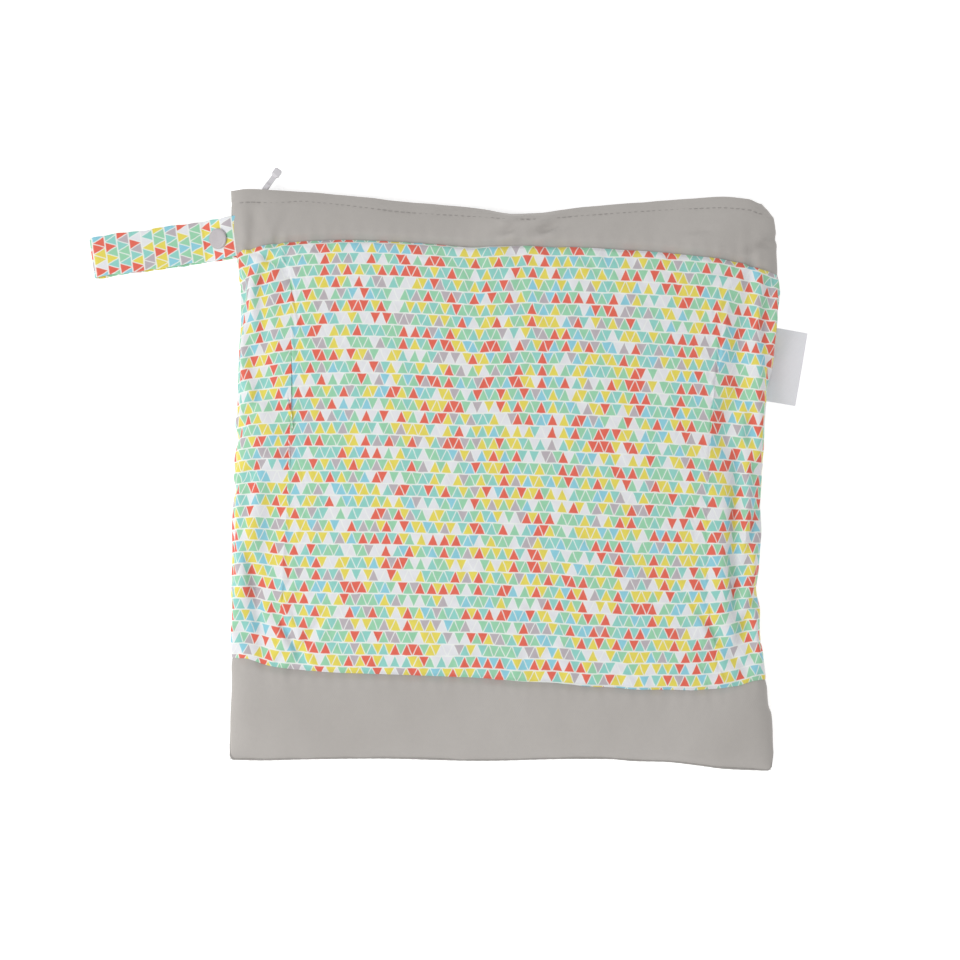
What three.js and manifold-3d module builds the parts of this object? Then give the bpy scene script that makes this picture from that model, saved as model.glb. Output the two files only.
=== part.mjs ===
// A cloth wet bag lying on its back: printed front, zip along the top, snapped carry strap, side label.
// +X runs across the bag, +Y towards the zip and +Z up out of the front. Lengths are millimetres.
// The origin is on the flat underside of the back panel, in the middle of the bag.
import * as THREE from 'three';
import { mergeVertices } from 'three/addons/utils/BufferGeometryUtils.js';
import Module from 'manifold-3d';

const wasm = await Module();
wasm.setup();

const { lerp, clamp, degToRad } = THREE.MathUtils;

// Bag
const BAG_WIDTH = 326;
const BAG_LENGTH = 342.4;
const LOFT = 30;
const CLOTH = 1.4;
const GAP = 0.3;
const SEAM_GAP = 0.6;
const TOP_DIP = 16.3;
const DIP_CENTRE = 5;
const DIP_SPREAD = 16;
const CORNER_DROP = 7.4;
const SIDE_ROLL = 20;
const SHOULDER_INSET = 23;
const BACK_RISE = 9.5;
const RISE_RUN = 34;
const FOLD_DEPTH = 2.6;

// Zip
const COIL_WIDTH = 4.4;
const COIL_DEPTH = 2.2;
const COIL_CORNER = 0.66;
const COIL_INSET = 5.2;
const TAPE_THICK = 0.8;
const ZIP_END_INSET = 9;
const BACK_TOP_INSET = 3.9;
const ZIP_LEVEL = 0.43;

// Slider and pull
const SLIDER_FROM_LEFT = 17.2;
const SLIDER_LENGTH = 9;
const SLIDER_PLATE = 1.2;
const SLIDER_CLEARANCE = 0.35;
const FLANGE = 0.8;
const SLIDER_NOSE = 1.3;
const SLIDER_CORNER = 0.7;
const BRIDGE_LENGTH = 7;
const BRIDGE_BAR = 0.9;
const BRIDGE_WIDTH = 1.6;
const BRIDGE_CORNER = 1.1;
const EYE_PIN = 1.3;
const PULL_LENGTH = 17.4;
const PULL_SHAFT = 3;
const PULL_WAIST = 3.3;
const PULL_SHOULDER = 2.2;
const PULL_SLOT = 4.5;
const PULL_HEAD = 4.6;
const PULL_HEAD_LENGTH = 4.2;
const PULL_TAPER = 1.4;
const PULL_CORNER = 0.8;
const PULL_EYE_WIDTH = 5;
const PULL_ANGLE = 57;

// Strap
const STRAP_WIDTH = 25;
const STRAP_REACH = 86.4;
const STRAP_THICK = 2;
const STRAP_SPACE = 3.5;
const STRAP_TILT = 8;
const STRAP_FROM_TOP = 29.2;
const STRAP_END = 0.9;
const STRAP_SLOPE = 18;
const STRAP_EASE = 3;

// Snap
const SNAP_AT = 8.2;
const CAP_DIAMETER = 12.4;
const CAP_HEIGHT = 1.5;
const SOCKET_DIAMETER = 10.4;
const SOCKET_BORE = 5.2;
const SOCKET_HEIGHT = 1.9;
const SOCKET_CORNER = 0.8;
const STUD_FLANGE = 0.8;
const STUD_KNOB = 1.8;
const STUD_EDGE = 0.25;

// Label
const LABEL_WIDTH = 44;
const LABEL_REACH = 21;
const LABEL_THICK = 0.6;
const LABEL_SPACE = 0.5;
const LABEL_TILT = -9.5;
const LABEL_FROM_TOP = 105.2;
const LABEL_DROOP = 6.5;

// How finely the cloth is divided
const CROWN_COLUMNS = 26;
const ZIP_STEPS = 36;
const ROUND_SIDES = 20;
const TURN_SIDES = 8;
const STRAP_STEPS = 30;
const LABEL_STEPS = 12;

const HALF_WIDTH = BAG_WIDTH / 2;
const TOP_Y = BAG_LENGTH / 2;
// Half a gap between two pieces, as a share of the way down the bag.
const HALF_GAP = GAP / 2 / BAG_LENGTH;

// The zip edge seen from above: its sag below the highest point, as a share of TOP_DIP.
const TOP_EDGE = [
  { across: -1.0, dip: 0.05 },
  { across: -0.95, dip: 0.0 },
  { across: -0.84, dip: 0.05 },
  { across: -0.59, dip: 0.245 },
  { across: -0.38, dip: 0.466 },
  { across: -0.134, dip: 0.69 },
  { across: -0.064, dip: 0.8 },
  { across: -0.015, dip: 0.965 },
  { across: 0.04, dip: 1.0 },
  { across: 0.134, dip: 0.91 },
  { across: 0.27, dip: 0.7 },
  { across: 0.51, dip: 0.5 },
  { across: 0.683, dip: 0.374 },
  { across: 0.81, dip: 0.295 },
  { across: 0.9, dip: 0.37 },
  { across: 0.945, dip: 0.53 },
  { across: 1.0, dip: 0.56 },
];

// The bottom seam seen from above: how far it runs past BAG_LENGTH, as a share of CORNER_DROP.
const BOTTOM_EDGE = [
  { across: -1.0, drop: -0.12 },
  { across: -0.91, drop: 0.08 },
  { across: -0.745, drop: 0.03 },
  { across: -0.47, drop: -0.03 },
  { across: -0.09, drop: 0.15 },
  { across: 0.25, drop: 0.0 },
  { across: 0.385, drop: 0.01 },
  { across: 0.485, drop: 0.18 },
  { across: 0.587, drop: 0.23 },
  { across: 0.72, drop: 0.54 },
  { across: 0.81, drop: 0.8 },
  { across: 0.94, drop: 0.95 },
  { across: 1.0, drop: 1.0 },
];

// The sides seen from above, as shares of HALF_WIDTH, going down the bag.
const SIDES = [
  { down: 0.0, left: 1.001, right: 0.944 },
  { down: 0.013, left: 1.0, right: 0.97 },
  { down: 0.026, left: 0.998, right: 0.988 },
  { down: 0.05, left: 0.996, right: 0.995 },
  { down: 0.075, left: 0.99, right: 0.998 },
  { down: 0.12, left: 0.979, right: 1.003 },
  { down: 0.15, left: 0.974, right: 1.009 },
  { down: 0.22, left: 0.977, right: 1.003 },
  { down: 0.35, left: 0.984, right: 0.964 },
  { down: 0.42, left: 0.988, right: 0.955 },
  { down: 0.575, left: 0.996, right: 0.944 },
  { down: 0.69, left: 1.002, right: 0.936 },
  { down: 0.76, left: 1.007, right: 0.94 },
  { down: 0.85, left: 1.002, right: 0.966 },
  { down: 0.885, left: 1.003, right: 0.972 },
  { down: 0.9, left: 1.004, right: 0.982 },
  { down: 0.963, left: 1.008, right: 0.987 },
  { down: 1.0, left: 1.009, right: 0.975 },
];

// Where the print starts and ends, as shares of the way down the bag.
const PRINT_SEAMS = [
  { across: -1.0, upper: 0.118, lower: 0.82 },
  { across: -0.95, upper: 0.108, lower: 0.821 },
  { across: -0.86, upper: 0.096, lower: 0.834 },
  { across: -0.78, upper: 0.09, lower: 0.84 },
  { across: -0.56, upper: 0.079, lower: 0.847 },
  { across: -0.35, upper: 0.074, lower: 0.848 },
  { across: -0.13, upper: 0.0725, lower: 0.848 },
  { across: -0.02, upper: 0.063, lower: 0.851 },
  { across: 0.06, upper: 0.058, lower: 0.855 },
  { across: 0.15, upper: 0.064, lower: 0.858 },
  { across: 0.33, upper: 0.077, lower: 0.868 },
  { across: 0.51, upper: 0.088, lower: 0.8706 },
  { across: 0.66, upper: 0.099, lower: 0.8687 },
  { across: 0.78, upper: 0.108, lower: 0.86 },
  { across: 0.87, upper: 0.115, lower: 0.85 },
  { across: 0.945, upper: 0.118, lower: 0.839 },
  { across: 1.0, upper: 0.126, lower: 0.838 },
];

// Height of each front piece as a share of LOFT, from its upper edge (0) to its lower edge (1):
// at the dip in the zip edge, along the middle of the bag, and out by the sides.
const TOP_BAND_RISE = [
  { at: 0.0, dip: 0.41, mid: 0.45, end: 0.4 },
  { at: 0.12, dip: 0.61, mid: 0.55, end: 0.47 },
  { at: 0.3, dip: 0.71, mid: 0.64, end: 0.55 },
  { at: 0.6, dip: 0.78, mid: 0.74, end: 0.64 },
  { at: 1.0, dip: 0.82, mid: 0.82, end: 0.72 },
];
const PRINT_RISE = [
  { at: 0.0, mid: 0.82, end: 0.72 },
  { at: 0.02, mid: 0.88, end: 0.79 },
  { at: 0.06, mid: 0.93, end: 0.85 },
  { at: 0.15, mid: 0.97, end: 0.89 },
  { at: 0.35, mid: 1.0, end: 0.92 },
  { at: 0.6, mid: 1.0, end: 0.92 },
  { at: 0.8, mid: 0.965, end: 0.88 },
  { at: 0.92, mid: 0.92, end: 0.82 },
  { at: 0.98, mid: 0.875, end: 0.77 },
  { at: 1.0, mid: 0.85, end: 0.75 },
];

// How much of the height at the print is left, going down the bottom band to its seam.
const BOTTOM_BAND_FALL = [
  { at: 0.0, left: 1.0 },
  { at: 0.25, left: 0.88 },
  { at: 0.5, left: 0.72 },
  { at: 0.75, left: 0.47 },
  { at: 0.9, left: 0.24 },
  { at: 1.0, left: 0.0 },
];

// The side roll from the side seam up to the crown: how far each point lies inside the outline,
// as a share of SIDE_ROLL where the bag is full and where it is sewn flat, and its share of the height.
const ROLL = [
  { full: 0.3, flat: 0.0, up: 0.0 },
  { full: 0.1, flat: 0.06, up: 0.14 },
  { full: 0.0, flat: 0.14, up: 0.3 },
  { full: 0.04, flat: 0.25, up: 0.46 },
  { full: 0.16, flat: 0.42, up: 0.62 },
  { full: 0.38, flat: 0.64, up: 0.77 },
  { full: 0.72, flat: 0.92, up: 0.885 },
  { full: 1.15, flat: 1.25, up: 0.955 },
  { full: 1.7, flat: 1.7, up: 1.0 },
];
const CROWN_START = ROLL[ROLL.length - 1].full;

// How far the back panel's seams lift off the ground, as shares of BACK_RISE.
const SIDE_LIFT = [
  { down: 0.0, lift: 0.5 },
  { down: 0.045, lift: 0.93 },
  { down: 0.12, lift: 0.97 },
  { down: 0.3, lift: 1.0 },
  { down: 0.8, lift: 1.0 },
  { down: 0.93, lift: 0.7 },
  { down: 1.0, lift: 0.38 },
];
const BOTTOM_LIFT = [
  { across: 0.0, lift: 0.8 },
  { across: 0.8, lift: 0.75 },
  { across: 1.0, lift: 0.38 },
];
const TOP_LIFT = 0.15;

// Soft folds and dents pressed into the front: place and reach as shares of the bag's half width and
// length, depth as a share of FOLD_DEPTH. A negative depth stands proud.
const FOLDS = [
  { across: -0.9, down: 0.2, wide: 0.032, long: 0.09, deep: 0.9 },
  { across: -0.79, down: 0.17, wide: 0.03, long: 0.08, deep: 0.55 },
  { across: -0.93, down: 0.45, wide: 0.03, long: 0.12, deep: 0.5 },
  { across: -0.88, down: 0.77, wide: 0.035, long: 0.06, deep: 0.85 },
  { across: -0.76, down: 0.79, wide: 0.03, long: 0.05, deep: 0.5 },
  { across: 0.86, down: 0.24, wide: 0.03, long: 0.1, deep: 0.7 },
  { across: 0.84, down: 0.52, wide: 0.03, long: 0.14, deep: 0.85 },
  { across: 0.88, down: 0.73, wide: 0.032, long: 0.08, deep: 0.9 },
  { across: 0.78, down: 0.76, wide: 0.03, long: 0.05, deep: 0.5 },
  { across: 0.12, down: 0.052, wide: 0.12, long: 0.012, deep: 0.55 },
  { across: -0.5, down: 0.925, wide: 0.16, long: 0.03, deep: 0.45 },
  { across: 0.2, down: 0.93, wide: 0.15, long: 0.025, deep: 0.5 },
  { across: 0.62, down: 0.92, wide: 0.12, long: 0.03, deep: -0.35 },
];

// Rows of each front piece, from its upper edge to its lower edge.
const TOP_BAND_ROWS = [0, 0.12, 0.28, 0.46, 0.64, 0.82, 1];
const PRINT_ROWS = [
  0, 0.012, 0.03, 0.06, 0.1, 0.15, 0.2, 0.26, 0.32, 0.39, 0.46, 0.53,
  0.6, 0.67, 0.73, 0.79, 0.84, 0.88, 0.92, 0.955, 0.98, 1,
];
const BOTTOM_BAND_ROWS = [0, 0.14, 0.3, 0.46, 0.62, 0.76, 0.88, 0.95, 1];
const BACK_ROWS = [
  0, 0.02, 0.045, 0.08, 0.12, 0.17, 0.22, 0.26, 0.3, 0.35, 0.4, 0.5, 0.6, 0.7,
  0.78, 0.83, 0.87, 0.895, 0.91, 0.94, 0.965, 0.985, 1,
];
const BACK_COLUMNS = [
  0, 0.012, 0.03, 0.05, 0.075, 0.105, 0.15, 0.25, 0.4, 0.6, 0.75, 0.85, 0.895, 0.925, 0.95, 0.97, 0.988, 1,
];

// Reads a column of a table at a place between its rows, on a smooth curve that never overshoots a row.
function read(table, key, column, place) {
  const last = table.length - 1;
  const at = clamp(place, table[0][key], table[last][key]);
  let row = 0;
  while (row < last - 1 && table[row + 1][key] < at) {
    row += 1;
  }
  const grade = (i) => {
    const j = clamp(i, 0, last - 1);
    return (table[j + 1][column] - table[j][column]) / (table[j + 1][key] - table[j][key]);
  };
  const tangent = (i) => {
    const before = grade(i - 1);
    const after = grade(i);
    return before * after <= 0 ? 0 : (2 * before * after) / (before + after);
  };
  const span = table[row + 1][key] - table[row][key];
  const t = (at - table[row][key]) / span;
  const from = table[row][column];
  const to = table[row + 1][column];
  const straight = from * (1 + 2 * t) * (1 - t) ** 2 + to * t * t * (3 - 2 * t);
  return straight + span * (tangent(row) * t * (1 - t) ** 2 - tangent(row + 1) * t * t * (1 - t));
}

const topEdge = (x) => TOP_Y - TOP_DIP * read(TOP_EDGE, 'across', 'dip', x / HALF_WIDTH);
const bottomEdge = (x) => (
  TOP_Y - BAG_LENGTH - CORNER_DROP * read(BOTTOM_EDGE, 'across', 'drop', x / HALF_WIDTH)
);
const outline = (side, down) => side * HALF_WIDTH * read(SIDES, 'down', side < 0 ? 'left' : 'right', down);
const printStart = (x) => read(PRINT_SEAMS, 'across', 'upper', x / HALF_WIDTH);
const printEnd = (x) => read(PRINT_SEAMS, 'across', 'lower', x / HALF_WIDTH);
const squareEase = (v) => clamp(v, 0, 1) ** 2;

// Height of the back panel's underside, at a distance in from the side seam.
function backHeight(fromSeam, x, down) {
  const side = read(SIDE_LIFT, 'down', 'lift', down) * squareEase(1 - fromSeam / RISE_RUN);
  const end = read(BOTTOM_LIFT, 'across', 'lift', Math.abs(x) / HALF_WIDTH);
  const bottom = end * squareEase(1 - ((1 - down) * BAG_LENGTH) / RISE_RUN);
  const top = TOP_LIFT * squareEase(1 - (down * BAG_LENGTH) / RISE_RUN);
  return BACK_RISE * (1 - (1 - side) * (1 - bottom) * (1 - top));
}

// Height at which the front cloth sits on the back panel's edge.
const seamHeight = (side, down) => backHeight(0, outline(side, down), down) + CLOTH + SEAM_GAP;
function bottomSeamHeight(x) {
  const fromSeam = Math.min(x - outline(-1, 1), outline(1, 1) - x);
  return backHeight(Math.max(fromSeam, 0), x, 1) + CLOTH + SEAM_GAP;
}

// Height of the front's crown, before folds.
function crownHeight(x, down) {
  const start = printStart(x);
  const end = printEnd(x);
  const byEdge = Math.abs(x / HALF_WIDTH) ** 3;
  const blend = (table, at) => lerp(read(table, 'at', 'mid', at), read(table, 'at', 'end', at), byEdge);
  if (down < start) {
    const at = down / start;
    const inDip = Math.exp(-(((x - DIP_CENTRE) / DIP_SPREAD) ** 2));
    return LOFT * lerp(blend(TOP_BAND_RISE, at), read(TOP_BAND_RISE, 'at', 'dip', at), inDip);
  }
  if (down < end) {
    return LOFT * blend(PRINT_RISE, (down - start) / (end - start));
  }
  const left = read(BOTTOM_BAND_FALL, 'at', 'left', (down - end) / (1 - end));
  return lerp(bottomSeamHeight(x), LOFT * blend(PRINT_RISE, 1), left);
}

// The columns of the front, from the left seam over the crown to the right seam.
const COLUMNS = [
  ...ROLL.map((point) => ({ side: -1, ...point })),
  ...Array.from({ length: CROWN_COLUMNS - 1 }, (_, i) => {
    const even = (i + 1) / CROWN_COLUMNS;
    return { side: 0, share: lerp(even, (1 - Math.cos(Math.PI * even)) / 2, 0.5) };
  }),
  ...ROLL.map((point) => ({ side: 1, ...point })).reverse(),
];

// How wide the side roll is at a place down the bag, and how full the bag is there.
const FLAT_ROLL = 0.3 * SIDE_ROLL;
function rollAt(side, down) {
  const seam = seamHeight(side, down);
  const crown = crownHeight(side * (HALF_WIDTH - SHOULDER_INSET), down);
  const fullness = clamp((crown - seam) / (LOFT - seam), 0, 1);
  return { seam, fullness, width: lerp(FLAT_ROLL, SIDE_ROLL, fullness) };
}

// A point of the front's outer face before folds.
function basePoint(column, down) {
  let x;
  let z;
  if (column.side === 0) {
    const left = outline(-1, down) + CROWN_START * rollAt(-1, down).width;
    const right = outline(1, down) - CROWN_START * rollAt(1, down).width;
    x = lerp(left, right, column.share);
    z = crownHeight(x, down);
  } else {
    const roll = rollAt(column.side, down);
    const inset = roll.width * lerp(column.flat, column.full, roll.fullness);
    const crownX = outline(column.side, down) - column.side * CROWN_START * roll.width;
    x = outline(column.side, down) - column.side * inset;
    z = lerp(roll.seam, crownHeight(crownX, down), column.up);
  }
  return new THREE.Vector3(x, lerp(topEdge(x), bottomEdge(x), down), z);
}

// How deep the folds press in at a point; they fade out at the seams and the zip edge.
const FADE_AT_ZIP = 0.03;
const FADE_AT_BOTTOM = 0.04;
function foldDepth(column, x, down) {
  const press = FOLDS.reduce((sum, fold) => {
    const off = (x / HALF_WIDTH - fold.across) / fold.wide;
    const along = (down - fold.down) / fold.long;
    return sum + fold.deep * Math.exp(-0.5 * (off * off + along * along));
  }, 0);
  const fromSide = column.side === 0 ? 1 : clamp(column.up * 2, 0, 1);
  const fromEnds = clamp(down / FADE_AT_ZIP, 0, 1) * clamp((1 - down) / FADE_AT_BOTTOM, 0, 1);
  return FOLD_DEPTH * press * fromSide * fromEnds;
}

// Outward direction of the front at a column, from its neighbours.
function outward(points, index, down) {
  const step = 0.002;
  const last = COLUMNS.length - 1;
  const along = points(Math.min(index + 1, last), down).sub(points(Math.max(index - 1, 0), down));
  const downward = points(index, Math.min(down + step, 1)).sub(points(index, Math.max(down - step, 0)));
  return downward.cross(along).normalize();
}

const plainPoint = (index, down) => basePoint(COLUMNS[index], down);
function foldedPoint(index, down) {
  const point = plainPoint(index, down);
  const depth = foldDepth(COLUMNS[index], point.x, down);
  if (Math.abs(depth) < 0.01) {
    return point;
  }
  return point.addScaledVector(outward(plainPoint, index, down), -depth);
}

// Outer and inner points of the front cloth; at the seams it stands upright on the back panel.
function clothPoint(index, down) {
  const outer = foldedPoint(index, down);
  const atLeft = index === 0;
  const atRight = index === COLUMNS.length - 1;
  const atBottom = 1 - down < HALF_GAP;
  const inner = outer.clone();
  if (atBottom) {
    inner.y += CLOTH;
  }
  if (atLeft || atRight) {
    inner.x += atLeft ? CLOTH : -CLOTH;
  } else if (!atBottom) {
    inner.addScaledVector(outward(foldedPoint, index, down), -CLOTH);
  }
  return { outer, inner };
}

// Turns rows of points into a closed body: outer face, inner face and the four edges between them.
function shell(outer, inner) {
  const rows = outer.length;
  const columns = outer[0].length;
  const positions = [];
  [outer, inner].forEach((face) => face.forEach((row) => row.forEach((p) => positions.push(p.x, p.y, p.z))));
  const at = (face, r, c) => face * rows * columns + r * columns + c;
  const triangles = [];
  const quad = (a, b, c, d) => triangles.push(a, b, c, a, c, d);
  for (let r = 0; r < rows - 1; r += 1) {
    for (let c = 0; c < columns - 1; c += 1) {
      quad(at(0, r, c), at(0, r + 1, c), at(0, r + 1, c + 1), at(0, r, c + 1));
      quad(at(1, r, c), at(1, r, c + 1), at(1, r + 1, c + 1), at(1, r + 1, c));
    }
  }
  for (let c = 0; c < columns - 1; c += 1) {
    quad(at(0, 0, c), at(0, 0, c + 1), at(1, 0, c + 1), at(1, 0, c));
    quad(at(0, rows - 1, c + 1), at(0, rows - 1, c), at(1, rows - 1, c), at(1, rows - 1, c + 1));
  }
  for (let r = 0; r < rows - 1; r += 1) {
    quad(at(0, r + 1, 0), at(0, r, 0), at(1, r, 0), at(1, r + 1, 0));
    quad(at(0, r, columns - 1), at(0, r + 1, columns - 1), at(1, r + 1, columns - 1), at(1, r, columns - 1));
  }
  return bodyFrom(positions, triangles);
}

// Joins rings of points into a closed bar with flat ends.
function bar(rings) {
  const sides = rings[0].length;
  const positions = rings.flatMap((ring) => ring.flatMap((p) => [p.x, p.y, p.z]));
  const triangles = [];
  for (let r = 0; r < rings.length - 1; r += 1) {
    for (let s = 0; s < sides; s += 1) {
      const a = r * sides + s;
      const b = r * sides + ((s + 1) % sides);
      triangles.push(a, b, b + sides, a, b + sides, a + sides);
    }
  }
  const end = (rings.length - 1) * sides;
  for (let s = 1; s < sides - 1; s += 1) {
    triangles.push(0, s + 1, s);
    triangles.push(end, end + s, end + s + 1);
  }
  return bodyFrom(positions, triangles);
}

// A geometry from points and triangles, turned so that its faces point out.
function bodyFrom(positions, triangles) {
  const point = (i) => new THREE.Vector3().fromArray(positions, i * 3);
  let volume = 0;
  for (let i = 0; i < triangles.length; i += 3) {
    volume += point(triangles[i]).dot(point(triangles[i + 1]).cross(point(triangles[i + 2])));
  }
  const geometry = new THREE.BufferGeometry();
  geometry.setAttribute('position', new THREE.Float32BufferAttribute(positions, 3));
  geometry.setIndex(volume < 0 ? [...triangles].reverse() : triangles);
  geometry.computeVertexNormals();
  return geometry;
}

// One front piece between two lines down the bag.
function frontPiece(rows, upper, lower, upperGap, lowerGap) {
  const lastColumn = COLUMNS.length - 1;
  const faces = rows.map((at) => COLUMNS.map((_, index) => {
    const side = index < lastColumn / 2 ? -1 : 1;
    let down = lerp(upper(side * HALF_WIDTH), lower(side * HALF_WIDTH), at);
    for (let pass = 0; pass < 3; pass += 1) {
      const { x } = plainPoint(index, down);
      down = lerp(upper(x) + upperGap, lower(x) - lowerGap, at);
    }
    return clothPoint(index, down);
  }));
  return shell(
    faces.map((row) => row.map((p) => p.outer)),
    faces.map((row) => row.map((p) => p.inner)),
  );
}

const topBandShape = () => frontPiece(TOP_BAND_ROWS, () => 0, printStart, 0, HALF_GAP);
const printShape = () => frontPiece(PRINT_ROWS, printStart, printEnd, HALF_GAP, HALF_GAP);
const bottomBandShape = () => frontPiece(BOTTOM_BAND_ROWS, printEnd, () => 1, HALF_GAP, 0);

// The back panel: flat on the ground, lifting towards its seams.
function backShape() {
  const lastColumn = COLUMNS.length - 1;
  const face = (lift) => BACK_ROWS.map((down) => {
    const left = plainPoint(0, down).x;
    const right = plainPoint(lastColumn, down).x;
    return BACK_COLUMNS.map((share) => {
      const x = lerp(left, right, share);
      const z = backHeight(Math.min(x - left, right - x), x, down);
      return new THREE.Vector3(x, lerp(topEdge(x) - BACK_TOP_INSET, bottomEdge(x), down), z + lift);
    });
  });
  return shell(face(CLOTH), face(0));
}

// Height of the front's outer face above a place near the zip edge.
function frontHeight(x, fromEdge) {
  const down = fromEdge / (topEdge(x) - bottomEdge(x));
  const underRoll = 2;
  let index = underRoll;
  let to = foldedPoint(index, down);
  let from = to;
  while (index < COLUMNS.length - 1 - underRoll && to.x < x) {
    index += 1;
    from = to;
    to = foldedPoint(index, down);
  }
  const share = to === from ? 0 : clamp((x - from.x) / (to.x - from.x), 0, 1);
  return lerp(from.z, to.z, share);
}

// The room for the zip at a place across the bag: between the back panel and the front's inner face.
function zipRoom(x, fromEdge) {
  const down = fromEdge / (topEdge(x) - bottomEdge(x));
  const left = plainPoint(0, 0).x;
  const right = plainPoint(COLUMNS.length - 1, 0).x;
  const step = 1;
  const slopeY = (frontHeight(x, fromEdge + step) - frontHeight(x, fromEdge)) / step;
  const slopeX = (frontHeight(x + step, fromEdge) - frontHeight(x - step, fromEdge)) / (2 * step);
  const through = CLOTH * Math.hypot(1, slopeX, slopeY);
  const backDown = Math.max(down - BACK_TOP_INSET / BAG_LENGTH, 0);
  return {
    low: backHeight(Math.min(x - left, right - x), x, backDown) + CLOTH + GAP,
    high: frontHeight(x, fromEdge) - through - GAP,
  };
}

const coilDepthIn = (x) => topEdge(x) - COIL_INSET;
function zipMiddle(x) {
  const { low, high } = zipRoom(x, COIL_INSET);
  return lerp(low, high, ZIP_LEVEL);
}

const ZIP_LEFT = outline(-1, 0) + ZIP_END_INSET;
const ZIP_RIGHT = outline(1, 0) - ZIP_END_INSET;
const zipStations = () => Array.from(
  { length: ZIP_STEPS + 1 },
  (_, i) => lerp(ZIP_LEFT, ZIP_RIGHT, i / ZIP_STEPS),
);

// One zip tape: an upright strip behind the coil, reaching up to the front or down to the back panel.
function tapeShape(reachesUp) {
  const front = COIL_INSET + COIL_DEPTH / 2 + GAP;
  const back = front + TAPE_THICK;
  return bar(zipStations().map((x) => {
    const middle = zipMiddle(x) + (reachesUp ? GAP / 2 : -GAP / 2);
    const far = (inset) => (reachesUp ? zipRoom(x, inset).high : zipRoom(x, inset).low);
    return [
      new THREE.Vector3(x, topEdge(x) - front, middle),
      new THREE.Vector3(x, topEdge(x) - front, far(front)),
      new THREE.Vector3(x, topEdge(x) - back, far(back)),
      new THREE.Vector3(x, topEdge(x) - back, middle),
    ];
  }));
}

// The closed coil: a flattened bar with rounded edges.
function coilShape() {
  const deep = COIL_DEPTH / 2;
  const tall = COIL_WIDTH / 2;
  const ring = [
    { y: deep, z: tall - COIL_CORNER },
    { y: deep - COIL_CORNER, z: tall },
    { y: COIL_CORNER - deep, z: tall },
    { y: -deep, z: tall - COIL_CORNER },
    { y: -deep, z: COIL_CORNER - tall },
    { y: COIL_CORNER - deep, z: -tall },
    { y: deep - COIL_CORNER, z: -tall },
    { y: deep, z: COIL_CORNER - tall },
  ];
  return bar(zipStations().map((x) => ring.map((p) => (
    new THREE.Vector3(x, coilDepthIn(x) + p.y, zipMiddle(x) + p.z)
  ))));
}

// Closed mesh to solid and back, for joins and cuts.
function toSolid(geometry) {
  const bare = geometry.clone();
  bare.deleteAttribute('normal');
  bare.deleteAttribute('uv');
  const merged = mergeVertices(bare, 1e-4);
  return new wasm.Manifold(new wasm.Mesh({
    numProp: 3,
    vertProperties: new Float32Array(merged.attributes.position.array),
    triVerts: new Uint32Array(merged.index.array),
  }));
}
function toGeometry(solid) {
  const mesh = solid.getMesh();
  const geometry = new THREE.BufferGeometry();
  geometry.setAttribute('position', new THREE.Float32BufferAttribute(mesh.vertProperties, 3));
  geometry.setIndex(Array.from(mesh.triVerts));
  geometry.computeVertexNormals();
  return geometry;
}

// A closed outline given as corner points, extruded evenly to both sides of its plane.
function slab(corners, thickness) {
  const shape = new THREE.Shape(corners.map((p) => new THREE.Vector2(p.u, p.v)));
  const geometry = new THREE.ExtrudeGeometry(shape, { depth: thickness, bevelEnabled: false });
  return geometry.translate(0, 0, -thickness / 2);
}

// A closed outline from its upper half, listed from one end to the other.
const mirrored = (upper) => [...upper, ...upper.map(({ u, v }) => ({ u, v: -v })).reverse()];

// The slider in its own frame: X along the zip, Y out of it, Z across it, origin in the coil's middle.
const PLATE_BACK = COIL_DEPTH / 2 + SLIDER_CLEARANCE;
const PLATE_FRONT = PLATE_BACK + SLIDER_PLATE;
const SLIDER_HALF_HEIGHT = COIL_WIDTH / 2 + SLIDER_CLEARANCE + FLANGE;
const PIVOT_OUT = PLATE_FRONT + GAP + EYE_PIN / 2;
const BRIDGE_INSIDE = PLATE_FRONT + EYE_PIN + 2 * GAP;

// One arch of the bridge, from a foot up to a top, with its two upper corners taken off.
function arch(length, foot, top, corner, width) {
  const half = length / 2;
  return toSolid(slab([
    { u: -half, v: foot },
    { u: half, v: foot },
    { u: half, v: top - corner },
    { u: half - corner, v: top },
    { u: corner - half, v: top },
    { u: -half, v: top - corner },
  ], width));
}

function sliderShape() {
  const half = SLIDER_LENGTH / 2;
  const tall = SLIDER_HALF_HEIGHT;
  const plate = slab(mirrored([
    { u: -half, v: tall - SLIDER_NOSE },
    { u: SLIDER_NOSE - half, v: tall },
    { u: half - SLIDER_CORNER, v: tall },
    { u: half, v: tall - SLIDER_CORNER },
  ]), SLIDER_PLATE);
  plate.rotateX(Math.PI / 2);
  plate.translate(0, (PLATE_BACK + PLATE_FRONT) / 2, 0);
  let solid = toSolid(plate);
  [-1, 1].forEach((side) => {
    const inPlate = SLIDER_PLATE / 2;
    const deep = COIL_DEPTH + SLIDER_CLEARANCE;
    const flange = new THREE.BoxGeometry(SLIDER_LENGTH - 2 * SLIDER_NOSE, deep + inPlate, FLANGE);
    flange.translate(0, PLATE_BACK - (deep - inPlate) / 2, side * (tall - FLANGE / 2));
    solid = solid.add(toSolid(flange));
  });
  const foot = PLATE_FRONT - SLIDER_PLATE / 2;
  const outer = arch(BRIDGE_LENGTH, foot, BRIDGE_INSIDE + BRIDGE_BAR, BRIDGE_CORNER, BRIDGE_WIDTH);
  const insideLength = BRIDGE_LENGTH - 2 * BRIDGE_BAR;
  const inner = arch(insideLength, PLATE_BACK, BRIDGE_INSIDE, BRIDGE_CORNER / 2, 2 * BRIDGE_WIDTH);
  return toGeometry(solid.add(outer.subtract(inner)));
}

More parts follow.
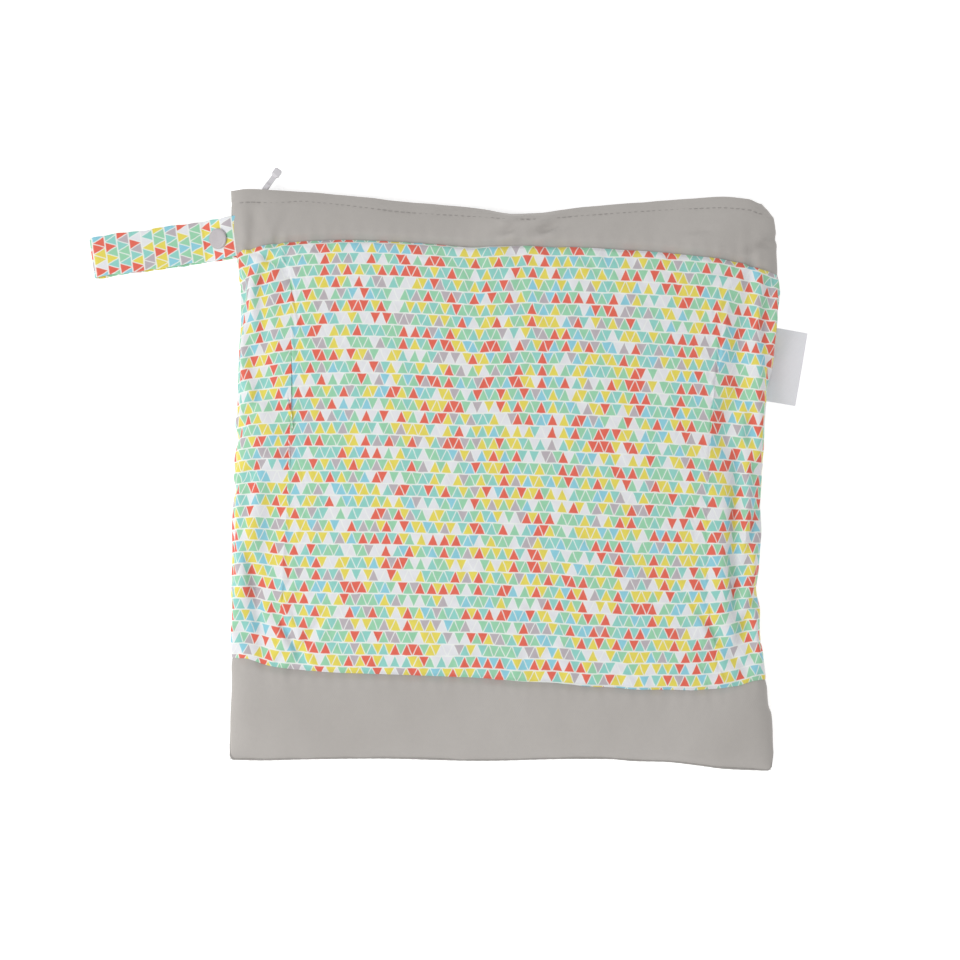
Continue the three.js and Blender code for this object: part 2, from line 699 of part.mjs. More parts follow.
// The pull in its own frame: X along the pull from the middle of its pin, Z along the pin.
function pullShape() {
  const pin = EYE_PIN / 2;
  const shaft = PULL_SHAFT / 2;
  const headStart = PULL_LENGTH - PULL_HEAD_LENGTH;
  const seenFromAbove = slab(mirrored([
    { u: -pin, v: pin / 2 },
    { u: -pin / 2, v: pin },
    { u: pin, v: pin },
    { u: PULL_SHOULDER, v: shaft },
    { u: headStart - PULL_TAPER, v: shaft },
    { u: headStart, v: PULL_HEAD / 2 },
    { u: PULL_LENGTH - PULL_CORNER, v: PULL_HEAD / 2 },
    { u: PULL_LENGTH, v: PULL_HEAD / 2 - PULL_CORNER },
  ]), PULL_EYE_WIDTH * 2);
  const eye = PULL_EYE_WIDTH / 2;
  const eyeEnd = pin + PULL_SLOT + pin;
  const seenFromSide = slab(mirrored([
    { u: -pin, v: eye },
    { u: eyeEnd, v: eye },
    { u: eyeEnd + PULL_TAPER, v: PULL_WAIST / 2 },
    { u: headStart - PULL_TAPER, v: PULL_WAIST / 2 },
    { u: headStart, v: eye },
    { u: PULL_LENGTH - PULL_CORNER, v: eye },
    { u: PULL_LENGTH, v: eye - PULL_CORNER },
  ]), PULL_HEAD * 2);
  seenFromSide.rotateX(Math.PI / 2);
  const slot = new THREE.BoxGeometry(PULL_SLOT, PULL_HEAD * 2, BRIDGE_WIDTH + 2 * GAP);
  slot.translate(pin + PULL_SLOT / 2, 0, 0);
  return toGeometry(toSolid(seenFromAbove).intersect(toSolid(seenFromSide)).subtract(toSolid(slot)));
}

// Slope of a curve at a place.
function slopeOf(curve, at) {
  const step = 0.1;
  return (curve(at + step) - curve(at - step)) / (2 * step);
}

// A strip folded back on itself. Its line leaves the seam at height `root`, and `fall` gives its share
// of the drop to `rest` along the way; the upper layer comes back to `upperEnd` from the seam.
function foldedStrip(strip) {
  const { width, thick, space, reach, root, rest, fall, upperEnd, steps } = strip;
  const height = (s) => lerp(root, rest, fall(s));
  const lower = (s) => new THREE.Vector2(s, height(s));
  const normal = (s) => new THREE.Vector2((root - rest) * slopeOf(fall, s), 1).normalize();
  const turn = (space + thick) / 2;
  const foldStart = reach - turn - thick / 2;
  const line = [];
  for (let i = 0; i <= steps; i += 1) {
    const s = lerp(GAP, foldStart, i / steps);
    line.push({ at: lower(s), face: normal(s) });
  }
  const centre = lower(foldStart).addScaledVector(normal(foldStart), turn);
  const down = normal(foldStart).angle() + Math.PI;
  for (let i = 1; i < TURN_SIDES; i += 1) {
    const angle = down + (Math.PI * i) / TURN_SIDES;
    const spoke = new THREE.Vector2(Math.cos(angle), Math.sin(angle));
    line.push({ at: centre.clone().addScaledVector(spoke, turn), face: spoke.clone().negate() });
  }
  for (let i = steps; i >= 0; i -= 1) {
    const s = lerp(upperEnd, foldStart, i / steps);
    line.push({ at: lower(s).addScaledVector(normal(s), 2 * turn), face: normal(s).negate() });
  }
  return bar(line.map(({ at, face }) => [
    { out: thick / 2, across: -width / 2 },
    { out: thick / 2, across: width / 2 },
    { out: -thick / 2, across: width / 2 },
    { out: -thick / 2, across: -width / 2 },
  ].map(({ out, across }) => {
    const p = at.clone().addScaledVector(face, out);
    return new THREE.Vector3(p.x, across, p.y);
  })));
}

// Where a strip of a width leaves a side seam, so that its whole root edge clears the seam.
function seamRoot(side, fromTop, width, turn) {
  const heading = new THREE.Vector2(Math.cos(turn), Math.sin(turn));
  const across = new THREE.Vector2(-heading.y, heading.x);
  const index = side < 0 ? 0 : COLUMNS.length - 1;
  const seamX = (y) => {
    const edge = topEdge(side * HALF_WIDTH);
    const downs = [edge - y, edge - BACK_TOP_INSET - y].map((run) => Math.max(run, 0) / BAG_LENGTH);
    return side * Math.max(...downs.map((down) => side * plainPoint(index, down).x));
  };
  const root = new THREE.Vector2(seamX(TOP_Y - fromTop), TOP_Y - fromTop);
  const places = [-0.5, -0.25, 0, 0.25, 0.5].map((share) => {
    const corner = root.clone().addScaledVector(across, share * width);
    return (seamX(corner.y) - corner.x) / heading.x;
  });
  return root.addScaledVector(heading, Math.max(...places));
}

// Where the strap leaves the left seam, and its line from there.
const STRAP_TURN = Math.PI + degToRad(STRAP_TILT);
const STRAP_DOWN = STRAP_FROM_TOP / BAG_LENGTH;
const STRAP_ROOT = seamHeight(-1, STRAP_DOWN) - GAP - STRAP_THICK / 2 - GAP;
const STRAP_REST = STRAP_THICK / 2;
const strapSeam = seamRoot(-1, STRAP_FROM_TOP, STRAP_WIDTH, STRAP_TURN);
// The slope grows over STRAP_EASE, stays even under the snap and dies out by STRAP_SLOPE.
function strapFall(s) {
  const whole = STRAP_SLOPE - STRAP_EASE;
  const run = clamp(s, 0, STRAP_SLOPE);
  const tail = STRAP_SLOPE - run;
  if (run < STRAP_EASE) {
    return (run * run) / (2 * STRAP_EASE * whole);
  }
  if (tail < STRAP_EASE) {
    return 1 - (tail * tail) / (2 * STRAP_EASE * whole);
  }
  return (run - STRAP_EASE / 2) / whole;
}
const strapShape = () => foldedStrip({
  width: STRAP_WIDTH,
  thick: STRAP_THICK,
  space: STRAP_SPACE,
  reach: STRAP_REACH,
  root: STRAP_ROOT,
  rest: STRAP_REST,
  fall: strapFall,
  upperEnd: STRAP_END,
  steps: STRAP_STEPS,
});

// Where the label leaves the right seam, and its line from there.
const LABEL_DOWN = LABEL_FROM_TOP / BAG_LENGTH;
const labelPile = 2 * LABEL_THICK + LABEL_SPACE;
const LABEL_ROOT = seamHeight(1, LABEL_DOWN) - 2 * GAP - labelPile + LABEL_THICK / 2;
const labelShape = () => foldedStrip({
  width: LABEL_WIDTH,
  thick: LABEL_THICK,
  space: LABEL_SPACE,
  reach: LABEL_REACH,
  root: LABEL_ROOT,
  rest: LABEL_ROOT - LABEL_DROOP,
  fall: (s) => (clamp(s, 0, LABEL_REACH) / LABEL_REACH) ** 2,
  upperEnd: GAP,
  steps: LABEL_STEPS,
});

// The snap's pieces as turned sections, with heights from the middle of the strap's lower layer.
function turned(section) {
  const points = section.map((p) => new THREE.Vector2(p.radius, p.height));
  const geometry = new THREE.LatheGeometry(points, ROUND_SIDES);
  return geometry.rotateX(Math.PI / 2);
}
const LOWER_TOP = STRAP_THICK / 2;
const UPPER_UNDER = LOWER_TOP + STRAP_SPACE;
const UPPER_TOP = UPPER_UNDER + STRAP_THICK;
const CAP_DOME = [
  { out: 0, up: 0 },
  { out: 0.95, up: 0 },
  { out: 1, up: 0.25 },
  { out: 0.96, up: 0.6 },
  { out: 0.8, up: 0.85 },
  { out: 0.4, up: 1 },
  { out: 0, up: 1 },
];
const capSection = (seat) => CAP_DOME.map(({ out, up }) => (
  { radius: (out * CAP_DIAMETER) / 2, height: seat + up * CAP_HEIGHT }
));
function socketSection() {
  const top = UPPER_UNDER - GAP;
  const radius = SOCKET_DIAMETER / 2;
  return [
    { radius: SOCKET_BORE / 2, height: top - SOCKET_HEIGHT },
    { radius: radius - SOCKET_CORNER, height: top - SOCKET_HEIGHT },
    { radius, height: top - SOCKET_HEIGHT + SOCKET_CORNER },
    { radius, height: top },
    { radius: SOCKET_BORE / 2, height: top },
    { radius: SOCKET_BORE / 2, height: top - SOCKET_HEIGHT },
  ];
}
function studSection() {
  const seat = LOWER_TOP + GAP;
  const neck = seat + STUD_FLANGE;
  const tip = neck + STUD_KNOB;
  const flange = SOCKET_DIAMETER / 2;
  const knob = SOCKET_BORE / 2 - GAP;
  return [
    { radius: 0, height: seat },
    { radius: flange, height: seat },
    { radius: flange - STUD_EDGE, height: neck },
    { radius: knob - STUD_EDGE, height: neck },
    { radius: knob, height: tip - 2 * STUD_EDGE },
    { radius: knob - 2 * STUD_EDGE, height: tip },
    { radius: 0, height: tip },
  ];
}

const cloth = (colour) => new THREE.MeshStandardMaterial({ color: colour, roughness: 0.85, metalness: 0 });
const plastic = (colour) => new THREE.MeshStandardMaterial({ color: colour, roughness: 0.35, metalness: 0 });
const greyCloth = cloth(0xb2aeaa);
const printCloth = cloth(0xa9d9c6);
const ribbon = cloth(0xf2f2f0);
const tapeCloth = cloth(0xa9a6a3);
const coilNylon = plastic(0xb4b1ad);
const pullEnamel = plastic(0xd9d7d8);
const snapPlastic = plastic(0xb9b4b6);

function piece(name, geometry, material) {
  const mesh = new THREE.Mesh(geometry, material);
  mesh.name = name;
  return mesh;
}

const bag = new THREE.Group();
bag.add(piece('front_top_band', topBandShape(), greyCloth));
bag.add(piece('print_panel', printShape(), printCloth));
bag.add(piece('front_bottom_band', bottomBandShape(), greyCloth));
bag.add(piece('back_panel', backShape(), greyCloth));
bag.add(piece('zip_tape_front', tapeShape(true), tapeCloth));
bag.add(piece('zip_tape_back', tapeShape(false), tapeCloth));
bag.add(piece('zip_coil', coilShape(), coilNylon));

// The slider sits on the coil and is turned along the zip edge; the pull swings on its bridge.
const sliderX = outline(-1, 0) + SLIDER_FROM_LEFT;
const slider = new THREE.Group();
slider.position.set(sliderX, coilDepthIn(sliderX), zipMiddle(sliderX));
slider.rotation.z = Math.atan2(topEdge(sliderX + 1) - topEdge(sliderX - 1), 2);
slider.add(piece('zip_slider', sliderShape(), pullEnamel));
const pull = piece('zip_pull', pullShape(), pullEnamel);
pull.position.y = PIVOT_OUT;
pull.rotation.z = degToRad(PULL_ANGLE);
slider.add(pull);
bag.add(slider);

// The strap runs out to the left from its seam and carries the snap.
const strap = new THREE.Group();
strap.position.set(strapSeam.x, strapSeam.y, 0);
strap.rotation.z = STRAP_TURN;
strap.add(piece('strap', strapShape(), printCloth));
const snap = new THREE.Group();
snap.position.set(SNAP_AT, 0, lerp(STRAP_ROOT, STRAP_REST, strapFall(SNAP_AT)));
snap.rotation.y = Math.atan(slopeOf(strapFall, SNAP_AT) * (STRAP_ROOT - STRAP_REST));
snap.add(piece('snap_cap', turned(capSection(UPPER_TOP + GAP)), snapPlastic));
snap.add(piece('snap_socket', turned(socketSection()), snapPlastic));
snap.add(piece('snap_stud', turned(studSection()), snapPlastic));
snap.add(piece('snap_back', turned(capSection(LOWER_TOP + GAP)).rotateX(Math.PI), snapPlastic));
strap.add(snap);
bag.add(strap);

// The label runs out to the right from its seam.
const label = new THREE.Group();
const labelSeam = seamRoot(1, LABEL_FROM_TOP, LABEL_WIDTH, degToRad(LABEL_TILT));
label.position.set(labelSeam.x, labelSeam.y, 0);
label.rotation.z = degToRad(LABEL_TILT);
label.add(piece('side_label', labelShape(), ribbon));
bag.add(label);

export default bag;
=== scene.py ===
"""A cloth wet bag lying on its back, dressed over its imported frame.

The bag is a puffed pouch: two plain bands and a printed panel make its front, a plain back rests on
the floor, a zip closes the top, a folded printed strap leaves the left seam under a snap and a blank
ribbon label leaves the right seam. Lengths are metres. +X runs across the bag, +Y towards the zip and
+Z up out of the front.
"""

import logging
import math
from collections.abc import Callable, Iterator, Sequence
from contextlib import contextmanager
from dataclasses import dataclass
from enum import Enum

import bmesh
import bpy
import numpy as np
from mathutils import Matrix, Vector


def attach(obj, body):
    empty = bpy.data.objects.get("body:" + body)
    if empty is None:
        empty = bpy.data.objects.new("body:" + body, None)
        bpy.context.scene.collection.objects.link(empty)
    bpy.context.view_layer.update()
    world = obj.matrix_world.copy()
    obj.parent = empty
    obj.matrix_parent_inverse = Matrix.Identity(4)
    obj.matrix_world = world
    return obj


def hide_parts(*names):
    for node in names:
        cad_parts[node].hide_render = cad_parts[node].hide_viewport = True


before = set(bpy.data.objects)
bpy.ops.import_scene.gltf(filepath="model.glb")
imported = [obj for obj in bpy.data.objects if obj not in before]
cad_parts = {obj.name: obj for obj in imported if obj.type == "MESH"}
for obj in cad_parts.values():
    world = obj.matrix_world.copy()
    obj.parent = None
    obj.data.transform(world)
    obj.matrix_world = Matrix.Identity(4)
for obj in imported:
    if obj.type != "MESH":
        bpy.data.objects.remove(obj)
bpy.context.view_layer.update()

Array = np.ndarray
Piece = bpy.types.Object
Material = bpy.types.Material
Socket = bpy.types.NodeSocket
log = logging.getLogger("wet_bag")


class Body(Enum):
    """The rigid bodies that pieces ride on."""

    BAG = "bag"
    PULL = "pull"


class Slot(Enum):
    """The record's material slots."""

    GREY = "grey_fabric"
    PRINT = "print_fabric"
    TAPE = "zip_tape"
    COIL = "zip_coil"
    METAL = "zip_metal"
    SNAP = "snap_plastic"
    RIBBON = "label_ribbon"


# Curves and grids

class Profile:
    """A table read along a smooth curve that never overshoots a row."""

    def __init__(self, *rows: tuple[float, float]) -> None:
        """Keeps the table and works out the slope at each row.

        Args:
            rows: Pairs of a place and the value there, in rising order of place.
        """
        self.keys = np.array([row[0] for row in rows])
        self.values = np.array([row[1] for row in rows])
        grades = np.diff(self.values) / np.diff(self.keys)
        before = np.concatenate([grades[:1], grades])
        after = np.concatenate([grades, grades[-1:]])
        level = before * after <= 0
        total = np.where(level, 1.0, before + after)
        self.slopes = np.where(level, 0.0, 2 * before * after / total)

    def __call__(self, places: Array | float) -> Array:
        """Returns the values at the given places.

        Args:
            places: Places along the table. Those past its ends take the end's value.

        Returns:
            A value for each place.
        """
        at = np.clip(places, self.keys[0], self.keys[-1])
        row = np.clip(np.searchsorted(self.keys, at) - 1, 0, len(self.keys) - 2)
        span = self.keys[row + 1] - self.keys[row]
        t = (at - self.keys[row]) / span
        start = self.values[row] * (1 + 2 * t) * (1 - t) ** 2
        end = self.values[row + 1] * t * t * (3 - 2 * t)
        lean = self.slopes[row] * t * (1 - t) ** 2 - self.slopes[row + 1] * t * t * (1 - t)
        return start + end + span * lean


def mix(a: Array | float, b: Array | float, share: Array | float) -> Array:
    """Returns the value a share of the way from a to b."""
    return a + (b - a) * share


def bell(x: Array) -> Array:
    """Returns a bell curve, 1 in the middle and about a third one unit away from it."""
    return np.exp(-(x ** 2))


def unit(vectors: Array) -> Array:
    """Returns the vectors at length one."""
    return vectors / np.maximum(np.linalg.norm(vectors, axis=-1, keepdims=True), 1e-12)


def grid_normals(points: Array) -> Array:
    """Returns the outward normals of a grid whose rows go down the bag and columns across it."""
    return unit(np.cross(np.gradient(points, axis=0), np.gradient(points, axis=1)))


def arc_along(points: Array, axis: int, middle: int) -> Array:
    """Returns the signed length along a grid's lines, from one line of the grid.

    Args:
        points: The grid's points.
        axis: 0 to measure down the columns, 1 to measure across the rows.
        middle: Index of the line that the length starts from.

    Returns:
        One length for each point of the grid.
    """
    steps = np.linalg.norm(np.diff(points, axis=axis), axis=-1)
    pad = [(0, 0), (0, 0)]
    pad[axis] = (1, 0)
    total = np.cumsum(np.pad(steps, pad), axis=axis)
    return total - np.take(total, [middle], axis=axis)


@dataclass(frozen=True)
class Crease:
    """One pressed fold: a valley with soft shoulders on both sides of it.

    Places are shares of the bag's half width and of its length. Lengths are metres.
    """

    across: float
    down: float
    heading: float
    length: float
    width: float
    depth: float


# The bag's form

TOP_EDGE = Profile(
    (-1.0, 0.05), (-0.95, 0.0), (-0.84, 0.05), (-0.59, 0.245), (-0.38, 0.466), (-0.134, 0.69),
    (-0.064, 0.78), (-0.015, 0.87), (0.04, 0.93), (0.134, 0.88), (0.27, 0.7), (0.51, 0.5),
    (0.683, 0.374), (0.81, 0.295), (0.9, 0.37), (0.945, 0.53), (1.0, 0.56),
)
BOTTOM_EDGE = Profile(
    (-1.0, 0.10), (-0.91, 0.14), (-0.745, 0.04), (-0.47, -0.03), (-0.09, 0.15), (0.25, 0.0),
    (0.385, 0.01), (0.485, 0.18), (0.587, 0.23), (0.72, 0.54), (0.81, 0.8), (0.94, 0.95), (1.0, 1.0),
)
LEFT_SIDE = Profile(
    (0.0, 1.015), (0.013, 1.014), (0.026, 1.013), (0.05, 1.011), (0.075, 1.005), (0.12, 0.986),
    (0.15, 0.976), (0.22, 0.978), (0.35, 0.985), (0.42, 0.990), (0.575, 1.0), (0.69, 1.008),
    (0.76, 1.008), (0.85, 1.008), (0.885, 1.012), (0.9, 1.014), (0.963, 1.018), (1.0, 1.014),
)
RIGHT_SIDE = Profile(
    (0.0, 0.955), (0.013, 0.981), (0.026, 0.999), (0.05, 1.004), (0.075, 1.006), (0.12, 1.011),
    (0.15, 1.012), (0.22, 1.003), (0.35, 0.967), (0.42, 0.955), (0.575, 0.941), (0.69, 0.939),
    (0.76, 0.945), (0.85, 0.970), (0.885, 0.979), (0.9, 0.989), (0.963, 0.998), (1.0, 0.985),
)
PRINT_START = Profile(
    (-1.0, 0.118), (-0.95, 0.108), (-0.86, 0.096), (-0.78, 0.09), (-0.56, 0.079), (-0.35, 0.074),
    (-0.13, 0.0725), (-0.02, 0.063), (0.06, 0.058), (0.15, 0.064), (0.33, 0.077), (0.51, 0.088),
    (0.66, 0.099), (0.78, 0.108), (0.87, 0.115), (0.945, 0.118), (1.0, 0.126),
)
PRINT_END = Profile(
    (-1.0, 0.82), (-0.95, 0.821), (-0.86, 0.834), (-0.78, 0.84), (-0.56, 0.847), (-0.35, 0.848),
    (-0.13, 0.848), (-0.02, 0.851), (0.06, 0.855), (0.15, 0.858), (0.33, 0.868), (0.51, 0.8706),
    (0.66, 0.8687), (0.78, 0.86), (0.87, 0.85), (0.945, 0.839), (1.0, 0.838),
)
TOP_RISE_DIP = Profile((0.0, 0.41), (0.12, 0.61), (0.3, 0.71), (0.6, 0.78), (1.0, 0.82))
TOP_RISE_MID = Profile((0.0, 0.45), (0.12, 0.55), (0.3, 0.64), (0.6, 0.74), (1.0, 0.82))
TOP_RISE_END = Profile((0.0, 0.4), (0.12, 0.47), (0.3, 0.55), (0.6, 0.64), (1.0, 0.72))
PRINT_RISE_MID = Profile(
    (0.0, 0.82), (0.02, 0.88), (0.06, 0.93), (0.15, 0.97), (0.35, 1.0), (0.6, 1.0),
    (0.8, 0.965), (0.92, 0.92), (0.98, 0.875), (1.0, 0.85),
)
PRINT_RISE_END = Profile(
    (0.0, 0.72), (0.02, 0.79), (0.06, 0.85), (0.15, 0.89), (0.35, 0.92), (0.6, 0.92),
    (0.8, 0.88), (0.92, 0.82), (0.98, 0.77), (1.0, 0.75),
)
BOTTOM_FALL = Profile((0.0, 1.0), (0.25, 0.88), (0.5, 0.72), (0.75, 0.47), (0.9, 0.24), (1.0, 0.0))
ROLL_FULL = Profile(
    (0, 0.3), (1, 0.1), (2, 0.0), (3, 0.04), (4, 0.16), (5, 0.38), (6, 0.72), (7, 1.15), (8, 1.7),
)
ROLL_FLAT = Profile(
    (0, 0.0), (1, 0.06), (2, 0.14), (3, 0.25), (4, 0.42), (5, 0.64), (6, 0.92), (7, 1.25), (8, 1.7),
)
ROLL_UP = Profile(
    (0, 0.0), (1, 0.14), (2, 0.3), (3, 0.46), (4, 0.62), (5, 0.77), (6, 0.885), (7, 0.955), (8, 1.0),
)
SIDE_LIFT = Profile(
    (0.0, 0.5), (0.045, 0.93), (0.12, 0.97), (0.3, 1.0), (0.8, 1.0), (0.93, 0.7), (1.0, 0.38),
)
BOTTOM_LIFT = Profile((0.0, 0.8), (0.8, 0.75), (1.0, 0.38))

# Broad folds of the front: across, down, reach across, reach down and depth as a share of fold_depth.
FOLDS = (
    (-0.9, 0.2, 0.032, 0.09, 0.9), (-0.79, 0.17, 0.03, 0.08, 0.55), (-0.93, 0.45, 0.03, 0.12, 0.5),
    (-0.88, 0.77, 0.035, 0.06, 0.85), (-0.76, 0.79, 0.03, 0.05, 0.5), (0.86, 0.24, 0.03, 0.1, 0.7),
    (0.84, 0.52, 0.03, 0.14, 0.85), (0.88, 0.73, 0.032, 0.08, 0.9), (0.78, 0.76, 0.03, 0.05, 0.5),
    (0.12, 0.052, 0.12, 0.012, 0.4), (-0.66, 0.915, 0.16, 0.024, 0.3), (0.3, 0.93, 0.2, 0.025, 0.2),
)

# Narrow creases, as the filled bag pulls them into its side seams and its print's seams.
CREASES = (
    Crease(-0.95, 0.17, 82, 0.030, 0.0032, 0.0016), Crease(-0.87, 0.14, 70, 0.022, 0.0030, 0.0013),
    Crease(-0.93, 0.27, 96, 0.034, 0.0030, 0.0012), Crease(-0.82, 0.21, 84, 0.024, 0.0036, 0.0009),
    Crease(-0.94, 0.40, 62, 0.030, 0.0028, 0.0012), Crease(-0.88, 0.47, 48, 0.026, 0.0026, 0.0014),
    Crease(-0.95, 0.56, 78, 0.028, 0.0030, 0.0010), Crease(-0.93, 0.66, 102, 0.026, 0.0032, 0.0013),
    Crease(-0.90, 0.75, 96, 0.022, 0.0030, 0.0016), Crease(-0.80, 0.77, 118, 0.020, 0.0032, 0.0011),
    Crease(-0.72, 0.79, 60, 0.018, 0.0034, 0.0008), Crease(0.90, 0.17, 88, 0.024, 0.0030, 0.0013),
    Crease(0.95, 0.25, 94, 0.028, 0.0028, 0.0012), Crease(0.86, 0.33, 84, 0.030, 0.0034, 0.0011),
    Crease(0.90, 0.43, 92, 0.034, 0.0030, 0.0014), Crease(0.86, 0.56, 88, 0.030, 0.0030, 0.0013),
    Crease(0.90, 0.62, 80, 0.022, 0.0028, 0.0016), Crease(0.84, 0.68, 102, 0.020, 0.0030, 0.0012),
    Crease(0.90, 0.74, 70, 0.022, 0.0032, 0.0014), Crease(0.78, 0.78, 128, 0.018, 0.0034, 0.0009),
    Crease(0.02, 0.072, 24, 0.007, 0.0026, 0.0017), Crease(0.16, 0.070, 22, 0.009, 0.0028, 0.0019),
    Crease(0.72, 0.075, 8, 0.008, 0.0022, 0.0008), Crease(0.94, 0.10, 24, 0.010, 0.0022, 0.0014),
    Crease(-0.92, 0.06, 100, 0.010, 0.0040, 0.0007),
)

# Uneven stretch of the print: across, along, reach across, reach along (metres) and its rows' shift.
PRINT_DRIFT = (
    (0.152, -0.020, 0.030, 0.050, 0.0035),
    (-0.060, -0.105, 0.060, 0.030, 0.0008),
    (0.040, 0.060, 0.050, 0.030, -0.0006),
)

# Faint even waves of the cloth: turns per metre across and along, phase and share of the ripple's depth.
RIPPLES = (
    (210, 90, 0.4, 0.5), (-130, 260, 1.9, 0.4), (330, -210, 2.6, 0.3), (60, -150, 4.1, 0.6),
    (-410, -120, 5.2, 0.2),
)

# How far the hem's stitches lie below the zip edge, across the bag.
HEM_DEPTH = Profile(
    (-1.0, 0.0084), (-0.87, 0.0080), (-0.75, 0.0060), (-0.4, 0.0070), (-0.15, 0.0060),
    (0.04, 0.0040), (0.15, 0.0049), (0.3, 0.0058), (0.6, 0.0062), (0.83, 0.0070), (1.0, 0.0062),
)


@dataclass(frozen=True)
class BagForm:
    """The sizes of the puffed bag, and the surfaces that follow from them."""

    width: float = 0.326
    length: float = 0.3424
    loft: float = 0.030
    cloth: float = 0.0014
    seam_gap: float = 0.0006
    top_dip: float = 0.0163
    dip_centre: float = 0.005
    dip_spread: float = 0.016
    corner_drop: float = 0.0074
    side_roll: float = 0.020
    flat_roll: float = 0.3
    shoulder_inset: float = 0.023
    back_rise: float = 0.0095
    top_lift: float = 0.15
    rise_run: float = 0.034
    fold_depth: float = 0.0026
    back_top_inset: float = 0.0039
    roll_rows: int = 8
    crown_rows: int = 26

    @property
    def half(self) -> float:
        """Half the bag's width."""
        return self.width / 2

    @property
    def last_column(self) -> int:
        """Place of the right side seam, in columns from the left one."""
        return 2 * self.roll_rows + self.crown_rows

    @property
    def top(self) -> float:
        """Height of the zip edge's highest point, towards the zip."""
        return self.length / 2

    def top_edge(self, x: Array) -> Array:
        """Returns where the zip edge lies."""
        return self.top - self.top_dip * TOP_EDGE(x / self.half)

    def bottom_edge(self, x: Array) -> Array:
        """Returns where the bottom seam lies."""
        return self.top - self.length - self.corner_drop * BOTTOM_EDGE(x / self.half)

    def outline(self, side: int, down: Array) -> Array:
        """Returns where a side lies, at shares of the way down the bag."""
        table = LEFT_SIDE if side < 0 else RIGHT_SIDE
        return side * self.half * table(down)

    def print_start(self, x: Array) -> Array:
        """Returns the print's upper seam, as shares of the way down."""
        return PRINT_START(x / self.half)

    def print_end(self, x: Array) -> Array:
        """Returns the print's lower seam, as shares of the way down."""
        return PRINT_END(x / self.half)

    def back_height(self, from_seam: Array, x: Array, down: Array) -> Array:
        """Returns the height of the back's underside.

        Args:
            from_seam: Distance in from the nearer side seam.
            x: Place across the bag.
            down: Share of the way down the bag.

        Returns:
            The height above the floor.
        """
        def ease(run: Array) -> Array:
            """Returns a rise that starts level."""
            return np.clip(1 - run / self.rise_run, 0, 1) ** 2

        side = SIDE_LIFT(down) * ease(from_seam)
        bottom = BOTTOM_LIFT(np.abs(x) / self.half) * ease((1 - down) * self.length)
        top = self.top_lift * ease(down * self.length)
        return self.back_rise * (1 - (1 - side) * (1 - bottom) * (1 - top))

    def seam_height(self, side: int, down: Array) -> Array:
        """Returns the height at which the front meets a side seam."""
        edge = self.back_height(0.0, self.outline(side, down), down)
        return edge + self.cloth + self.seam_gap

    def bottom_seam_height(self, x: Array) -> Array:
        """Returns the height at which the front meets the bottom seam.

        Args:
            x: Places across the bag.

        Returns:
            The heights above the floor.
        """
        inside = np.minimum(x - self.outline(-1, 1.0), self.outline(1, 1.0) - x)
        edge = self.back_height(np.maximum(inside, 0), x, 1.0)
        return edge + self.cloth + self.seam_gap

    def crown_height(self, x: Array, down: Array) -> Array:
        """Returns the height of the front's crown, before folds.

        Args:
            x: Places across the bag.
            down: Shares of the way down the bag.

        Returns:
            The heights above the floor.
        """
        start = self.print_start(x)
        end = self.print_end(x)
        by_edge = np.abs(x / self.half) ** 3
        in_band = np.clip(down / start, 0, 1)
        in_dip = bell((x - self.dip_centre) / self.dip_spread)
        plain = mix(TOP_RISE_MID(in_band), TOP_RISE_END(in_band), by_edge)
        band = mix(plain, TOP_RISE_DIP(in_band), in_dip)
        in_print = np.clip((down - start) / (end - start), 0, 1)
        middle = mix(PRINT_RISE_MID(in_print), PRINT_RISE_END(in_print), by_edge)
        left = BOTTOM_FALL(np.clip((down - end) / (1 - end), 0, 1))
        last = mix(PRINT_RISE_MID(1.0), PRINT_RISE_END(1.0), by_edge)
        foot = mix(self.bottom_seam_height(x), self.loft * last, left)
        upper = np.where(down < start, self.loft * band, self.loft * middle)
        return np.where(down < end, upper, foot)

    def roll_at(self, side: int, down: Array) -> tuple[Array, Array, Array]:
        """Returns a side seam's height, how full the bag is there and how wide its roll is.

        Args:
            side: -1 for the left seam, 1 for the right one.
            down: Shares of the way down the bag.

        Returns:
            The heights, the fullness from 0 to 1, and the widths.
        """
        seam = self.seam_height(side, down)
        crown = self.crown_height(side * (self.half - self.shoulder_inset) + 0 * down, down)
        full = np.clip((crown - seam) / (self.loft - seam), 0, 1)
        return seam, full, self.side_roll * mix(self.flat_roll, 1.0, full)

    def point(self, column: Array, down: Array) -> Array:
        """Returns points of the front's outer face, before folds.

        Args:
            column: Place across the front, from 0 at the left seam over the crown.
            down: Share of the way down the bag, one for each column place.

        Returns:
            Points, with their coordinates in the last axis.
        """
        rolls, last = self.roll_rows, self.last_column
        on_left = column < rolls
        on_right = column > last - rolls
        step = np.where(on_right, last - column, np.minimum(column, rolls))
        even = np.clip((column - rolls) / self.crown_rows, 0, 1)
        share = 0.5 * even + 0.25 * (1 - np.cos(np.pi * even))
        up = ROLL_UP(step)
        crown_inset = ROLL_FULL(rolls)
        places = []
        for side in (-1, 1):
            seam, full, wide = self.roll_at(side, down)
            edge = self.outline(side, down)
            crown_x = edge - side * crown_inset * wide
            x = edge - side * wide * mix(ROLL_FLAT(step), ROLL_FULL(step), full)
            z = mix(seam, self.crown_height(crown_x, down), up)
            places.append((crown_x, x, z))
        (crown_left, left_x, left_z), (crown_right, right_x, right_z) = places
        mid_x = mix(crown_left, crown_right, share)
        x = np.where(on_left, left_x, np.where(on_right, right_x, mid_x))
        mid_z = self.crown_height(mid_x, down)
        z = np.where(on_left, left_z, np.where(on_right, right_z, mid_z))
        y = mix(self.top_edge(x), self.bottom_edge(x), down)
        return np.stack([x, y, z], axis=-1)

